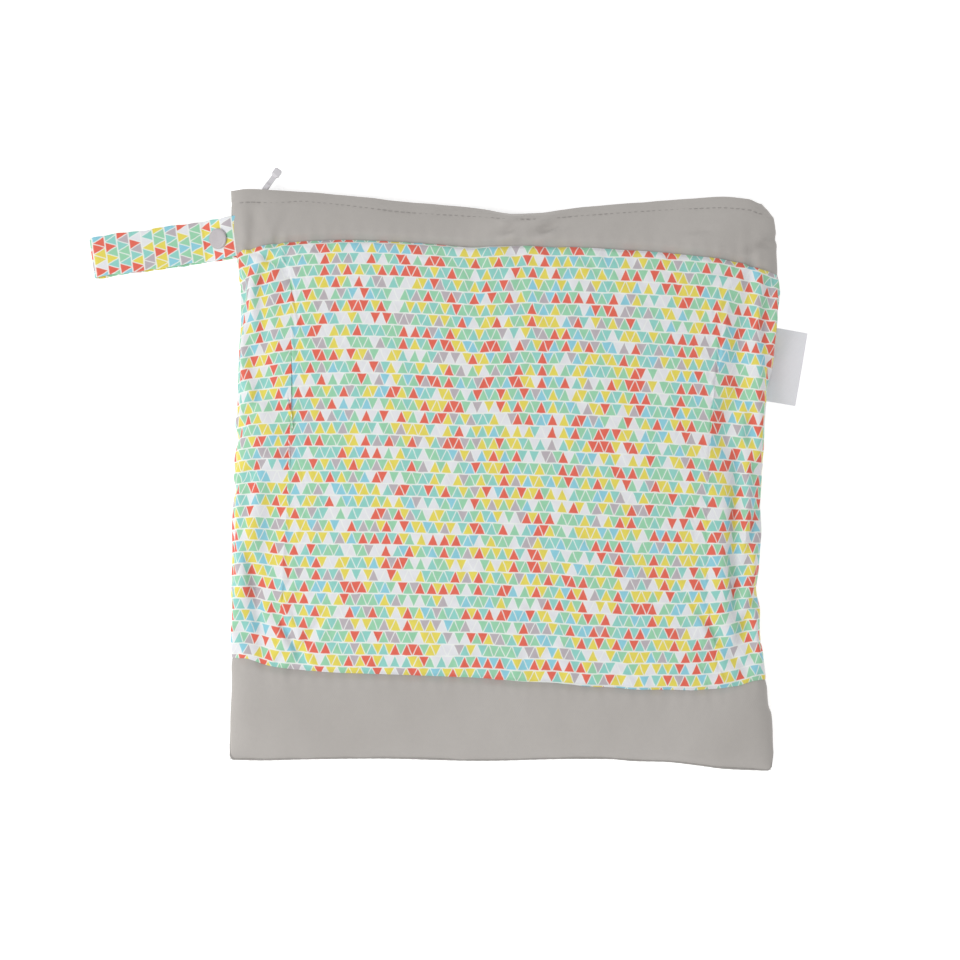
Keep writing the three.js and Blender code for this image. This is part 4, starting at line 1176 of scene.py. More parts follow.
@dataclass
class SlackCloth:
    """Lets the front settle as cloth, with more of it near the sides than its outline needs."""

    form: BagForm
    roll_cuts: int = 9
    crown_cuts: int = 96
    rows: int = 96
    frames: int = 30
    gather_frames: int = 12
    side_fineness: float = 0.55
    side_slack: float = 0.20
    fine_gathers: float = 0.8
    side_reach: float = 0.030
    long_slack: float = 0.006
    mass: float = 0.02
    tension: float = 12.0
    bending: float = 1.2
    pressure: float = 0.02
    print_hold: float = 0.35
    seam_hold: float = 0.92
    seam_reach: float = 0.012
    slack_fade: float = 0.05
    band_fade: float = 0.006
    end_reach: float = 0.02
    side_free: tuple[float, float, float] = (0.93, 0.25, 0.5)
    roll_hold: tuple[float, float, float] = (0.55, 2.5, 1.5)
    edge_columns: float = 1.2

    def grid(self) -> tuple[Array, Array]:
        """Returns the column places and shares down of the simulated points."""
        columns = self.form.columns(self.roll_cuts, self.warp(np.arange(self.crown_cuts) / self.crown_cuts))
        return np.meshgrid(columns, np.linspace(0, 1, self.rows))

    def warp(self, share: Array) -> Array:
        """Returns the places of the crown's columns, which lie closer together near the sides."""
        return share - self.side_fineness * np.sin(2 * np.pi * share) / (2 * np.pi)

    def slack(self, points: Array, down: Array) -> Array:
        """Returns how much wider the cloth is than its outline, as a share at each point.

        Args:
            points: Points of the front.
            down: Their shares of the way down the bag.

        Returns:
            A share for each point.
        """
        near = bell((self.form.half - np.abs(points[..., 0])) / self.side_reach)
        inside = np.minimum(down - self.form.print_start(points[..., 0]),
                            self.form.print_end(points[..., 0]) - down)
        in_print = np.clip(inside / self.slack_fade, 0, 1)
        return self.side_slack * near * in_print

    def spread(self, points: Array, down: Array) -> Array:
        """Returns how far out from the middle each point lies before the cloth is gathered.

        Args:
            points: Grid of the front's points.
            down: Their shares of the way down the bag.

        Returns:
            The extra distance of each point, negative on the left.
        """
        steps = np.linalg.norm(np.diff(points, axis=1), axis=-1) * self.slack(points, down)[:, 1:]
        total = np.cumsum(np.pad(steps, ((0, 0), (1, 0))), axis=1)
        return total - total[:, [points.shape[1] // 2]]

    def settle(self) -> None:
        """Runs the simulation and keeps each point's shift and its place on the flat cloth."""
        column, down = self.grid()
        points = self.form.point(column, down)
        normals = grid_normals(points)
        press = self.form.fold_press(points, column, down) + 0.5 * self.form.crease_press(points)
        last = column.max()
        edge = np.minimum(column, last - column)
        start = points - normals * (press * np.clip(edge / 2, 0, 1))[..., None]
        self.shape = points.shape[:2]
        spread = self.spread(points, down)
        self.across = arc_along(points, 1, self.shape[1] // 2) + (1 + self.fine_gathers) * spread
        self.across += points[:, [self.shape[1] // 2], 0]
        self.shift = start - points
        held = self.firmness(points, down, edge)
        wide = start.copy()
        wide[..., 0] += spread
        settled = self.simulate(wide, start, held)
        self.shift = settled - points

    def firmness(self, points: Array, down: Array, edge: Array) -> Array:
        """Returns how firmly each point is held, from 0 to 1.

        Args:
            points: Points of the front.
            down: Their shares of the way down the bag.
            edge: Their distance from the nearer side seam, in columns.

        Returns:
            A firmness for each point.
        """
        start, end = self.form.print_start(points[..., 0]), self.form.print_end(points[..., 0])
        outer, run, least = self.side_free
        x = np.abs(points[..., 0]) / self.form.half
        firm, middle, reach = self.roll_hold
        held = (
            self.print_hold * np.clip((outer - x) / run, least, 1),
            np.clip(np.maximum(start - down, down - end) / self.band_fade, 0, 1),
            firm * bell((edge - middle) / reach),
            self.seam_hold * bell((down - start) / self.seam_reach),
            self.seam_hold * bell((down - end) / self.seam_reach),
            bell(edge / self.edge_columns),
            bell(down / self.end_reach),
            bell((1 - down) / self.end_reach),
        )
        return np.max(np.broadcast_arrays(*held), axis=0)

    def simulate(self, wide: Array, gathered: Array, held: Array) -> Array:
        """Gathers the cloth from its full width, lets it settle and returns where its points lie.

        Args:
            wide: Grid of points at the cloth's full width.
            gathered: Grid of points drawn in to the bag's outline.
            held: How firmly each point is held, from 0 to 1.

        Returns:
            The grid of settled points.
        """
        rows, columns = self.shape
        at = np.arange(rows * columns).reshape(rows, columns)
        faces = np.stack([at[:-1, :-1], at[1:, :-1], at[1:, 1:], at[:-1, 1:]], axis=-1)
        cloth = Weave.solid("slack_cloth", wide, faces.reshape(-1, 4).tolist())
        cloth.shape_key_add(name="wide")
        drawn = cloth.shape_key_add(name="gathered")
        drawn.data.foreach_set("co", gathered.astype(np.float32).ravel())
        for share, number in ((0.0, 1), (1.0, self.gather_frames)):
            drawn.value = share
            drawn.keyframe_insert("value", frame=number)
        group = cloth.vertex_groups.new(name="held")
        levels = np.round(np.clip(held, 0, 1) * 50).astype(int).ravel()
        for level in np.unique(levels):
            group.add(np.flatnonzero(levels == level).tolist(), float(level) / 50, "REPLACE")
        modifier = cloth.modifiers.new("settle", "CLOTH")
        rules = modifier.settings
        rules.vertex_group_mass = group.name
        rules.shrink_min = -self.long_slack
        rules.pin_stiffness = 1.0
        rules.mass = self.mass
        rules.quality = 6
        rules.tension_stiffness = self.tension
        rules.compression_stiffness = self.tension
        rules.shear_stiffness = self.tension * 0.35
        rules.bending_stiffness = self.bending
        rules.tension_damping = rules.compression_damping = rules.shear_damping = 2.0
        rules.bending_damping = 0.3
        rules.air_damping = 2.0
        rules.use_pressure = True
        rules.uniform_pressure_force = self.pressure
        rules.effector_weights.gravity = 0.0
        modifier.collision_settings.use_collision = False
        modifier.point_cache.frame_start = 1
        modifier.point_cache.frame_end = self.frames
        scene = bpy.context.scene
        for number in range(1, self.frames + 1):
            scene.frame_set(number)
        seen = cloth.evaluated_get(bpy.context.evaluated_depsgraph_get())
        settled = np.empty(rows * columns * 3, dtype=np.float32)
        seen.data.vertices.foreach_get("co", settled)
        bpy.data.objects.remove(cloth)
        scene.frame_set(1)
        log.info("slack_cloth: settled over %d frames", self.frames)
        return settled.reshape(rows, columns, 3).astype(float)

    def read(self, field: Array, column: Array, down: Array) -> Array:
        """Returns a field of the settled cloth at other places, smoothly.

        Args:
            field: Values on the simulated grid, with any number in the last axis.
            column: Places across the front.
            down: Shares of the way down.

        Returns:
            The values there.
        """
        rolls, last = self.form.roll_rows, self.form.last_column
        per_roll = self.roll_cuts / rolls
        even = np.linspace(0, 1, 2001)
        across = np.minimum(column, rolls) * per_roll
        crown = np.clip((column - rolls) / self.form.crown_rows, 0, 1)
        across = across + np.interp(crown, self.warp(even), even) * self.crown_cuts
        across = across + np.maximum(column - last + rolls, 0) * per_roll
        row, row_weights = weave_steps(np.clip(down, 0, 1) * (self.rows - 1))
        place, place_weights = weave_steps(across)
        total = np.zeros(column.shape + field.shape[2:])
        for i in range(4):
            y = np.clip(row + i - 1, 0, self.shape[0] - 1)
            for j in range(4):
                x = np.clip(place + j - 1, 0, self.shape[1] - 1)
                total += (row_weights[i] * place_weights[j])[..., None] * field[y, x]
        return total


@dataclass(frozen=True)
class Seam:
    """How a front piece ends at a seam.

    tuck is how far its edge runs on past the seam line, dip is how deep the edge is drawn in there
    and reach is how far from the seam the cloth starts to dive.
    """

    tuck: float = 0.0
    dip: float = 0.0
    reach: float = 0.002


@dataclass
class ClothFront:
    """The three pieces of the front: two plain bands and the print between them."""

    form: BagForm
    slack: SlackCloth
    wardrobe: Wardrobe
    roll_cuts: int = 26
    crown_cuts: int = 190
    band_rows: int = 34
    print_rows: int = 190
    foot_rows: int = 50
    pucker: float = 0.00016
    pucker_pitch: float = 0.0085
    ripple: float = 0.00016
    hem_groove: float = 0.00028
    column_lean: float = 0.026
    row_lean: float = 0.024

    def grid(self, upper: Callable[[Array], Array], lower: Callable[[Array], Array],
             shares: Array) -> tuple[Array, Array, Array]:
        """Returns the points of one front piece before folds, with their columns and shares down.

        Args:
            upper: Its upper line, from places across to shares of the way down.
            lower: Its lower line.
            shares: Rows, as shares of the way from the upper to the lower line.

        Returns:
            The grid's points, its columns and its shares of the way down the bag.
        """
        cuts = np.arange(self.crown_cuts) / self.crown_cuts
        columns = self.form.columns(self.roll_cuts, cuts)
        column = np.broadcast_to(columns, (len(shares), len(columns)))
        x = np.broadcast_to(np.linspace(-self.form.half, self.form.half, column.shape[1]), column.shape)
        down = mix(upper(x), lower(x), shares[:, None])
        for _ in range(4):
            x = self.form.point(column, down)[..., 0]
            down = mix(upper(x), lower(x), shares[:, None])
        return self.form.point(column, down), column, down

    def small_waves(self, points: Array, from_seams: Array) -> Array:
        """Returns the cloth's faint waves and the puckers beside its seams.

        Args:
            points: Points of the front.
            from_seams: Their distance from the nearest seam, in metres.

        Returns:
            A height for each point.
        """
        x, y = points[..., 0], points[..., 1]
        waves = np.zeros_like(x)
        for across, along, phase, share in RIPPLES:
            waves += share * np.sin(across * x + along * y + phase)
        pull = np.sin(2 * np.pi * x / self.pucker_pitch + 2.2 * np.sin(41 * x))
        beside = bell((from_seams - 0.004) / 0.005)
        return self.ripple * waves + self.pucker * pull * beside

    def piece(self, name: str, upper: Callable[[Array], Array], lower: Callable[[Array], Array],
              rows: Array, at_upper: Seam, at_lower: Seam) -> Piece:
        """Makes one front piece.

        Args:
            name: The piece's name.
            upper: Its upper line.
            lower: Its lower line.
            rows: Rows, as shares from its upper to its lower line.
            at_upper: How it ends at its upper line.
            at_lower: How it ends at its lower line.

        Returns:
            The closed sheet.
        """
        form = self.form
        above = at_upper.tuck / form.length
        below = at_lower.tuck / form.length
        base, column, down = self.grid(
            lambda x: upper(x) - above, lambda x: lower(x) + below, rows)
        x = base[..., 0].copy()
        base = base + self.slack.read(self.slack.shift, column, down)
        from_upper = (down - upper(x)) * form.length
        from_lower = (lower(x) - down) * form.length
        normals = grid_normals(base)
        press = form.crease_press(base)
        near = np.minimum(column, form.last_column - column)
        from_side = np.clip(near / 2, 0, 1)
        on_top = 0.2 + 0.8 * np.clip((near - 2) / 7, 0, 1)
        seams = np.where(at_upper.dip > 0, np.abs(from_upper), 1.0)
        seams = np.minimum(seams, np.where(at_lower.dip > 0, np.abs(from_lower), 1.0))
        press = (press + self.small_waves(base, seams)) * from_side
        for seam, distance in ((at_upper, from_upper), (at_lower, from_lower)):
            if seam.dip > 0:
                dive = bell(np.maximum(distance, 0) / seam.reach)
                press = press + seam.dip * dive * on_top
        if at_upper.dip == 0:
            hem = bell((from_upper - HEM_DEPTH(x / form.half)) / 0.0011)
            press = press + self.hem_groove * hem
        outer = base - normals * press[..., None]
        inner = outer - grid_normals(outer) * form.cloth
        run = arc_along(base, 0, 0)
        if at_upper.dip > 0 and at_lower.dip == at_upper.dip:
            run = run / run[-1:] * run[-1, run.shape[1] // 2]
        return Weave.sheet(name, outer, inner, self.cloth_places(base, run, column, down))

    def cloth_places(self, base: Array, run: Array, column: Array, down: Array) -> Array:
        """Returns each point's place on the flat cloth, with the print's slight lean and drift.

        Args:
            base: Grid of the settled points.
            run: Length down the flat cloth from the piece's upper line.
            column: Places across the front.
            down: Shares of the way down the bag.

        Returns:
            A place for each point.
        """
        across = self.slack.read(self.slack.across[..., None], column, down)[..., 0]
        along = run[:, [run.shape[1] // 2]] * 0 - run
        lean_u = across - self.column_lean * along
        lean_v = along - self.row_lean * across
        for x, y, wide, long, shift in PRINT_DRIFT:
            near = ((base[..., 0] - x) / wide) ** 2 + ((base[..., 1] - y) / long) ** 2
            lean_v = lean_v + shift * np.exp(-near)
        return np.stack([lean_u, lean_v], axis=-1)

    def topstitching(self) -> Piece:
        """Makes the row of stitches that holds the folded hem by the zip.

        Returns:
            The stitches as one object.
        """
        length, pitch, thick = 0.0027, 0.0036, 0.00017
        form = self.form
        inset = 0.6 * form.roll_rows
        column = np.linspace(inset, form.last_column - inset, 2400)[None, :]
        x = form.point(column, 0 * column)[..., 0]
        down = HEM_DEPTH(x / form.half) / form.length
        line = form.point(column, down) + self.slack.read(self.slack.shift, column, down)
        line = line[0]
        run = arc_along(line[:, None], 0, 0)[:, 0]
        stitches = []
        for index, start in enumerate(np.arange(0.0005, run[-1] - length, pitch)):
            along = start + np.linspace(0, length, 5) + 0.0002 * math.sin(index * 1.7)
            path = np.stack([np.interp(along, run, line[:, axis]) for axis in range(3)], axis=-1)
            path[:, 2] -= np.array([0.0004, 0.0, -0.00006, 0.0, 0.0004]) + self.hem_groove * 0.7
            stitches.append(Weave.tube(f"stitch_{index}", path, thick, 6))
        return Weave.join("hem_topstitching", stitches)

    def build(self) -> list[Piece]:
        """Builds and dresses the three pieces and the topstitching.

        Returns:
            The three cloth pieces.
        """
        form = self.form

        def zip_edge(x: Array) -> Array:
            """Returns the zip edge as a share of the way down."""
            return 0 * x

        def foot(x: Array) -> Array:
            """Returns the bottom seam as a share of the way down."""
            return 0 * x + 1

        under = Seam(tuck=0.0022, dip=0.0026, reach=0.0028)
        over = Seam(dip=0.0016, reach=0.0016)
        bend = np.linspace(0, 1, self.band_rows)
        print_rows = 0.5 - 0.5 * np.cos(np.pi * np.linspace(0, 1, self.print_rows))
        print_rows = mix(print_rows, np.linspace(0, 1, self.print_rows), 0.55)
        band = self.piece("front_band_cloth", zip_edge, form.print_start, bend, Seam(), under)
        print_cloth = self.piece("print_cloth", form.print_start, form.print_end, print_rows, over, over)
        low = self.piece("bottom_band_cloth", form.print_end, foot, np.linspace(0, 1, self.foot_rows),
                         under, Seam())
        place_piece(band, Body.BAG, Slot.GREY, self.wardrobe.grey, ["front_top_band"])
        place_piece(print_cloth, Body.BAG, Slot.PRINT, self.wardrobe.print, ["print_panel"])
        place_piece(low, Body.BAG, Slot.GREY, self.wardrobe.grey, ["front_bottom_band"])
        place_piece(self.topstitching(), Body.BAG, Slot.GREY, self.wardrobe.thread)
        return [band, print_cloth, low]


def declare_sheet(piece: Piece) -> None:
    """Reads a closed sheet's cloth places and does nothing with them.

    Args:
        piece: The sheet.
    """
    mesh = piece.data
    layer = np.empty(len(mesh.loops) * 2, dtype=np.float32)
    mesh.uv_layers[Weave.LAYER].data.foreach_get("uv", layer)


@dataclass
class ClothBack:
    """The plain back, flat where it rests, and the sewn edge that joins it to the front."""

    form: BagForm
    wardrobe: Wardrobe
    columns: int = 150
    rows: int = 120
    edge_radius: float = 0.0008

    def panel(self) -> Piece:
        """Makes the back panel.

        Returns:
            The back as a closed sheet.
        """
        form = self.form
        down = np.linspace(0, 1, self.rows)[:, None] + np.zeros((1, self.columns))
        even = np.linspace(0, 1, self.columns)[None, :]
        share = mix(even, 0.5 - 0.5 * np.cos(np.pi * even), 0.6)
        left = form.side_seam_x(-1, down)
        right = form.side_seam_x(1, down)
        x = mix(left, right, share)
        z = form.back_height(np.minimum(x - left, right - x), x, down)
        y = mix(form.top_edge(x) - form.back_top_inset, form.bottom_edge(x), down)
        ease = np.clip(z / 0.003, 0, 1)
        z = z + ease * 0.00035 * (np.sin(190 * x + 60 * y) + np.sin(120 * y - 90 * x + 1.3))
        under = np.stack([x, y, np.maximum(z, 0)], axis=-1)
        upper = under + np.array([0, 0, form.cloth])
        cloth = np.stack([x, y], axis=-1)
        return Weave.sheet("back_cloth", upper, under, cloth)

    def sewn_edge(self) -> Piece:
        """Makes the rolled seam allowance around the sides and the bottom.

        Returns:
            The edge as one tube.
        """
        form = self.form
        lift = form.seam_gap / 2
        down = np.linspace(0.010, 0.994, 150)
        sides = []
        for side in (-1, 1):
            x = form.side_seam_x(side, down)
            y = mix(form.top_edge(x), form.bottom_edge(x), down)
            z = form.seam_height(side, down) - lift
            sides.append(np.stack([x - side * 0.0002, y, z], axis=-1))
        ends = [form.side_seam_x(side, np.array([1.0]))[0] for side in (-1, 1)]
        x = np.linspace(ends[0], ends[1], 190)[1:-1]
        bottom = np.stack([x, form.bottom_edge(x) + 0.0001, form.bottom_seam_height(x) - lift], axis=-1)
        path = np.concatenate([sides[0], bottom, sides[1][::-1]])
        steps = np.arange(len(path))
        ends = np.clip(np.minimum(steps, len(path) - 1 - steps) / 6, 0.3, 1)
        radius = self.edge_radius * ends * (1 + 0.07 * np.sin(steps * 1.9))
        return Weave.tube("sewn_edge", path, radius, 10)

    def build(self) -> Piece:
        """Builds and dresses the back and its sewn edge, and returns the back.

        Returns:
            The back panel.
        """
        panel = self.panel()
        place_piece(panel, Body.BAG, Slot.GREY, self.wardrobe.grey, ["back_panel"])
        place_piece(self.sewn_edge(), Body.BAG, Slot.GREY, self.wardrobe.seam_thread)
        return panel


# The zip

def stations(node: str) -> list[Array]:
    """Returns the points of a long CAD solid, grouped by their place along +X.

    Args:
        node: The CAD solid.

    Returns:
        The points at each place, in order along +X.
    """
    groups: dict[float, list[Vector]] = {}
    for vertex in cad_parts[node].data.vertices:
        groups.setdefault(round(vertex.co.x, 4), []).append(vertex.co)
    return [np.array([tuple(point) for point in groups[key]]) for key in sorted(groups)]


def resample(line: Array, count: int) -> Array:
    """Returns a line of points at even places along +X.

    Args:
        line: Points in order along +X.
        count: How many points to return.

    Returns:
        The new points.
    """
    x = np.linspace(line[0, 0], line[-1, 0], count)
    curves = [Profile(*zip(line[:, 0], line[:, axis])) for axis in (1, 2)]
    return np.stack([x, curves[0](x), curves[1](x)], axis=-1)


@dataclass
class ZipFastener:
    """The closed zip: two tapes, two meshed coils, the slider and its pull."""

    wardrobe: Wardrobe
    coil_pitch: float = 0.0013
    wire: float = 0.00034
    coil_deep: float = 0.00078
    coil_tall: float = 0.00115
    coil_apart: float = 0.00068
    tape_thick: float = 0.0007
    bevel: float = 0.00022

    def coil(self) -> Piece:
        """Makes the two meshed coils along the zip's middle line.

        Returns:
            The two wires as one object.
        """
        line = np.array([group.mean(axis=0) for group in stations("zip_coil")])
        length = line[-1, 0] - line[0, 0] - 0.002
        turns = int(length / self.coil_pitch)
        per_turn = 10
        wires = []
        for side in (-1, 1):
            count = turns * per_turn
            path = resample(line, count)
            angle = np.linspace(0, 2 * np.pi * turns, count) + (0 if side < 0 else np.pi)
            path[:, 0] = np.clip(path[:, 0], line[0, 0] + 0.0006, line[-1, 0] - 0.0006)
            path[:, 1] += self.coil_deep * np.sin(angle)
            path[:, 2] += side * self.coil_apart + self.coil_tall * np.cos(angle)
            wires.append(Weave.tube(f"coil_{side}", path, self.wire, 5, (1, 0, 0)))
        return Weave.join("zip_coil_wire", wires)

    def tape(self, node: str, name: str) -> Piece:
        """Makes one tape where its CAD solid stands.

        Args:
            node: The CAD solid.
            name: The new piece's name.

        Returns:
            The tape as a closed sheet.
        """
        near, far = [], []
        for group in stations(node):
            order = np.argsort(group[:, 2])
            low = group[order[: len(order) // 2]].mean(axis=0)
            high = group[order[len(order) // 2:]].mean(axis=0)
            near.append(low)
            far.append(high)
        low = resample(np.array(near), 300)
        high = resample(np.array(far), 300)
        shares = np.linspace(0, 1, 9)[:, None, None]
        face = mix(high[None], low[None], shares)
        bow = 0.00015 * np.sin(np.pi * shares[..., 0])
        face[..., 1] -= bow
        shift = np.array([0, self.tape_thick / 2, 0])
        cloth = np.stack([face[..., 0], face[..., 2]], axis=-1)
        return Weave.sheet(name, face + shift, face - shift, cloth)

    def softened(self, node: str, name: str) -> Piece:
        """Makes a copy of a hard CAD solid with its edges rounded.

        Args:
            node: The CAD solid.
            name: The new piece's name.

        Returns:
            The new piece.
        """
        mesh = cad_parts[node].data.copy()
        mesh.name = name
        made = add_object(name, mesh)
        with reshaping(mesh) as edit:
            bmesh.ops.remove_doubles(edit, verts=edit.verts, dist=1e-6)
            bmesh.ops.dissolve_limit(edit, angle_limit=0.02, verts=edit.verts, edges=edit.edges)
        bevel = made.modifiers.new("edges", "BEVEL")
        bevel.width = self.bevel
        bevel.segments = 3
        bevel.limit_method = "ANGLE"
        bevel.harden_normals = True
        return made

    def build(self) -> None:
        """Builds and dresses the zip's pieces."""
        looks = self.wardrobe
        for node, name in (("zip_tape_front", "front_tape"), ("zip_tape_back", "back_tape")):
            place_piece(self.tape(node, name), Body.BAG, Slot.TAPE, looks.tape, [node])
        place_piece(self.coil(), Body.BAG, Slot.COIL, looks.coil, ["zip_coil"])
        slider = self.softened("zip_slider", "slider_body")
        place_piece(slider, Body.BAG, Slot.METAL, looks.enamel, ["zip_slider"])
        pull = self.softened("zip_pull", "pull_bar")
        place_piece(pull, Body.PULL, Slot.METAL, looks.enamel, ["zip_pull"])


# The strap, its snap and the label

@dataclass
class FoldedStrip:
    """A strip that leaves a side seam, folds back on itself and ends by the seam again."""

    form: BagForm
    side: int
    from_top: float
    tilt: float
    width: float
    reach: float
    thick: float
    space: float
    end: float
    gap: float = 0.0003

    def turn(self) -> float:
        """Returns the angle from +X that the strip runs at."""
        return math.radians(self.tilt) + (math.pi if self.side < 0 else 0.0)

    def heading(self) -> Array:
        """Returns the direction that the strip runs in."""
        return np.array([math.cos(self.turn()), math.sin(self.turn())])

    def root(self) -> Array:
        """Returns where the strip leaves its seam, so that its whole end clears the seam.

        Returns:
            The place's x and y.
        """
        form = self.form
        along = self.heading()
        across = np.array([-along[1], along[0]])
        edge = float(form.top_edge(self.side * form.half))

        def seam_x(y: float) -> float:
            """Returns how far out the seam reaches at a place along the bag.

            Args:
                y: Place along the bag.

            Returns:
                The place across the bag.
            """
            runs = [max(edge - drop - y, 0) / form.length for drop in (0, form.back_top_inset)]
            return self.side * max(
                self.side * float(form.side_seam_x(self.side, np.array([run]))[0]) for run in runs)

        start = np.array([seam_x(form.top - self.from_top), form.top - self.from_top])
        places = []
        for share in (-0.5, -0.25, 0, 0.25, 0.5):
            corner = start + share * self.width * across
            places.append((seam_x(corner[1]) - corner[0]) / along[0])
        return start + max(places) * along

    def to_world(self, local: Array) -> Array:
        """Turns points of the strip's own frame into the bag's frame.

        Args:
            local: Points as distance from the seam, place across and height.

        Returns:
            The points in the bag's frame.
        """
        along = self.heading()
        root = self.root()
        x = root[0] + local[..., 0] * along[0] - local[..., 1] * along[1]
        y = root[1] + local[..., 0] * along[1] + local[..., 1] * along[0]
        return np.stack([x, y, local[..., 2]], axis=-1)

    def line(self, height: Callable[[Array], Array], cuts: int) -> tuple[Array, Array]:
        """Returns the strip's middle line and its normals, out along one layer and back on the other.

        Args:
            height: Height of the lower layer's middle at a distance from the seam.
            cuts: How many points each layer has.

        Returns:
            Points as distance and height pairs, and the unit normals there.
        """
        def normal(s: Array) -> Array:
            """Returns the upward normal of the lower layer."""
            slope = (height(s + 1e-4) - height(s - 1e-4)) / 2e-4
            return unit(np.stack([-slope, np.ones_like(s)], axis=-1))

        half = (self.space + self.thick) / 2
        fold = self.reach - half - self.thick / 2
        out = np.linspace(self.gap, fold, cuts)
        back = np.linspace(fold, self.end, cuts)
        lower = np.stack([out, height(out)], axis=-1)
        up = normal(np.array([fold]))[0]
        centre = lower[-1] + up * half
        start = math.atan2(up[1], up[0]) + math.pi
        angle = start + np.linspace(0, math.pi, 14)[1:-1]
        spokes = np.stack([np.cos(angle), np.sin(angle)], axis=-1)
        upper = np.stack([back, height(back)], axis=-1) + normal(back) * 2 * half
        points = np.concatenate([lower, centre + spokes * half, upper])
        normals = np.concatenate([normal(out), -spokes, -normal(back)])
        return points, normals


@dataclass
class CarryStrap:
    """The printed strap and the four pieces of its snap."""

    form: BagForm
    wardrobe: Wardrobe
    slope: float = 0.018
    ease: float = 0.003
    snap_at: float = 0.0066
    cap_radius: float = 0.0062
    cap_height: float = 0.0015
    socket_radius: float = 0.0052
    bore_radius: float = 0.0026
    socket_height: float = 0.0019
    stud_flange: float = 0.0008
    stud_knob: float = 0.0018
    edge_bead: float = 0.00035

    def __post_init__(self) -> None:
        """Lays the strip and the height that it leaves its seam at."""
        self.strip = FoldedStrip(
            self.form, -1, from_top=0.0286, tilt=8.0, width=0.025, reach=0.0880, thick=0.002,
            space=0.0035, end=-0.0022)
        down = self.strip.from_top / self.form.length
        self.rest = self.strip.thick / 2
        seam = float(self.form.seam_height(-1, np.array([down]))[0])
        self.root = seam - 2 * self.strip.gap - self.rest

    def fall(self, s: Array) -> Array:
        """Returns the share of the drop to the floor that is done at a distance from the seam.

        Args:
            s: Distances from the seam.

        Returns:
            A share for each distance.
        """
        whole = self.slope - self.ease
        run = np.clip(s, 0, self.slope)
        tail = self.slope - run
        middle = (run - self.ease / 2) / whole
        start = run ** 2 / (2 * self.ease * whole)
        end = 1 - tail ** 2 / (2 * self.ease * whole)
        return np.where(run < self.ease, start, np.where(tail < self.ease, end, middle))

    def height(self, s: Array) -> Array:
        """Returns the height of the lower layer's middle at a distance from the seam."""
        return mix(self.root, self.rest, self.fall(s))

    def cloth(self) -> Piece:
        """Makes the folded strap with its turned, slightly wavy edges.

        Returns:
            The strap as one closed bar.
        """
        strip = self.strip
        points, normals = strip.line(self.height, 110)
        length = arc_along(np.concatenate([points, 0 * points[:, :1]], axis=1)[:, None], 0, 0)[:, 0]
        turn = np.linspace(0, 2 * np.pi, 44, endpoint=False)
        wide = np.sign(np.cos(turn)) * np.abs(np.cos(turn)) ** 0.16
        tall = np.sign(np.sin(turn)) * np.abs(np.sin(turn)) ** 0.4
        swell = 0.00022 * np.sin(length * 240) + 0.00016 * np.sin(length * 530 + 1.1)
        aside = 0.00020 * np.sin(length * 160 + 0.6)
        lower = length < length[-1] / 2
        across = (strip.width / 2 + swell - 0.0004)[:, None] * wide + (aside + 0.0004 * lower)[:, None]
        bead = 1 + 0.18 * bell((np.abs(wide) - 0.93) / 0.04)
        dimple = 1 - 0.10 * bell((np.abs(wide) - 0.80) / 0.05)
        out = tall * strip.thick / 2 * bead * dimple * 0.92
        s = points[:, None, 0] + normals[:, None, 0] * out
        z = points[:, None, 1] + normals[:, None, 1] * out
        rings = strip.to_world(np.stack([s, across, np.maximum(z, 0)], axis=-1))
        outer_face = np.where(lower[:, None], length[:, None], length[-1] - length[:, None])
        places = np.stack([outer_face + 0 * across, across + np.where(tall > 0, 0, 0.013)], axis=-1)
        return Weave.rings("strap_cloth", rings, places, 60.0)

    def set_on_strap(self, piece: Piece) -> Piece:
        """Moves a snap piece from its own frame to its place on the strap.

        Args:
            piece: The snap piece.

        Returns:
            The same piece.
        """
        strip = self.strip
        s = self.snap_at
        slope = float(self.height(s + 1e-4) - self.height(s - 1e-4)) / 2e-4
        lean = math.atan(-slope)
        local = np.array([tuple(vertex.co) for vertex in piece.data.vertices])
        x = s + local[:, 0] * math.cos(lean) + local[:, 2] * math.sin(lean)
        z = float(self.height(s)) - local[:, 0] * math.sin(lean) + local[:, 2] * math.cos(lean)
        world = strip.to_world(np.stack([x, local[:, 1], z], axis=-1))
        piece.data.vertices.foreach_set("co", world.astype(np.float32).ravel())
        piece.data.update()
        return Weave.outward(piece)

    def cap(self, name: str, seat: float, sign: float) -> Piece:
        """Makes one of the two outer caps.

        Args:
            name: The piece's name.
            seat: Height of its flat face from the middle of the lower layer.
            sign: 1 for the cap on top, -1 for the one below.

        Returns:
            The cap in its place.
        """
        r, h = self.cap_radius, self.cap_height
        dome = (
            (0.0, 0.0), (0.94, 0.0), (0.985, 0.08), (1.0, 0.22), (1.0, 0.4), (0.985, 0.58), (0.95, 0.74),
            (0.9, 0.84), (0.84, 0.9), (0.78, 0.915), (0.72, 0.9), (0.66, 0.9), (0.4, 0.97), (0.16, 1.0),
            (0.05, 1.0), (0.0, 0.995),
        )
        section = [(out * r, sign * (seat + up * h)) for out, up in dome]
        return self.set_on_strap(Weave.turned(name, section, 64))

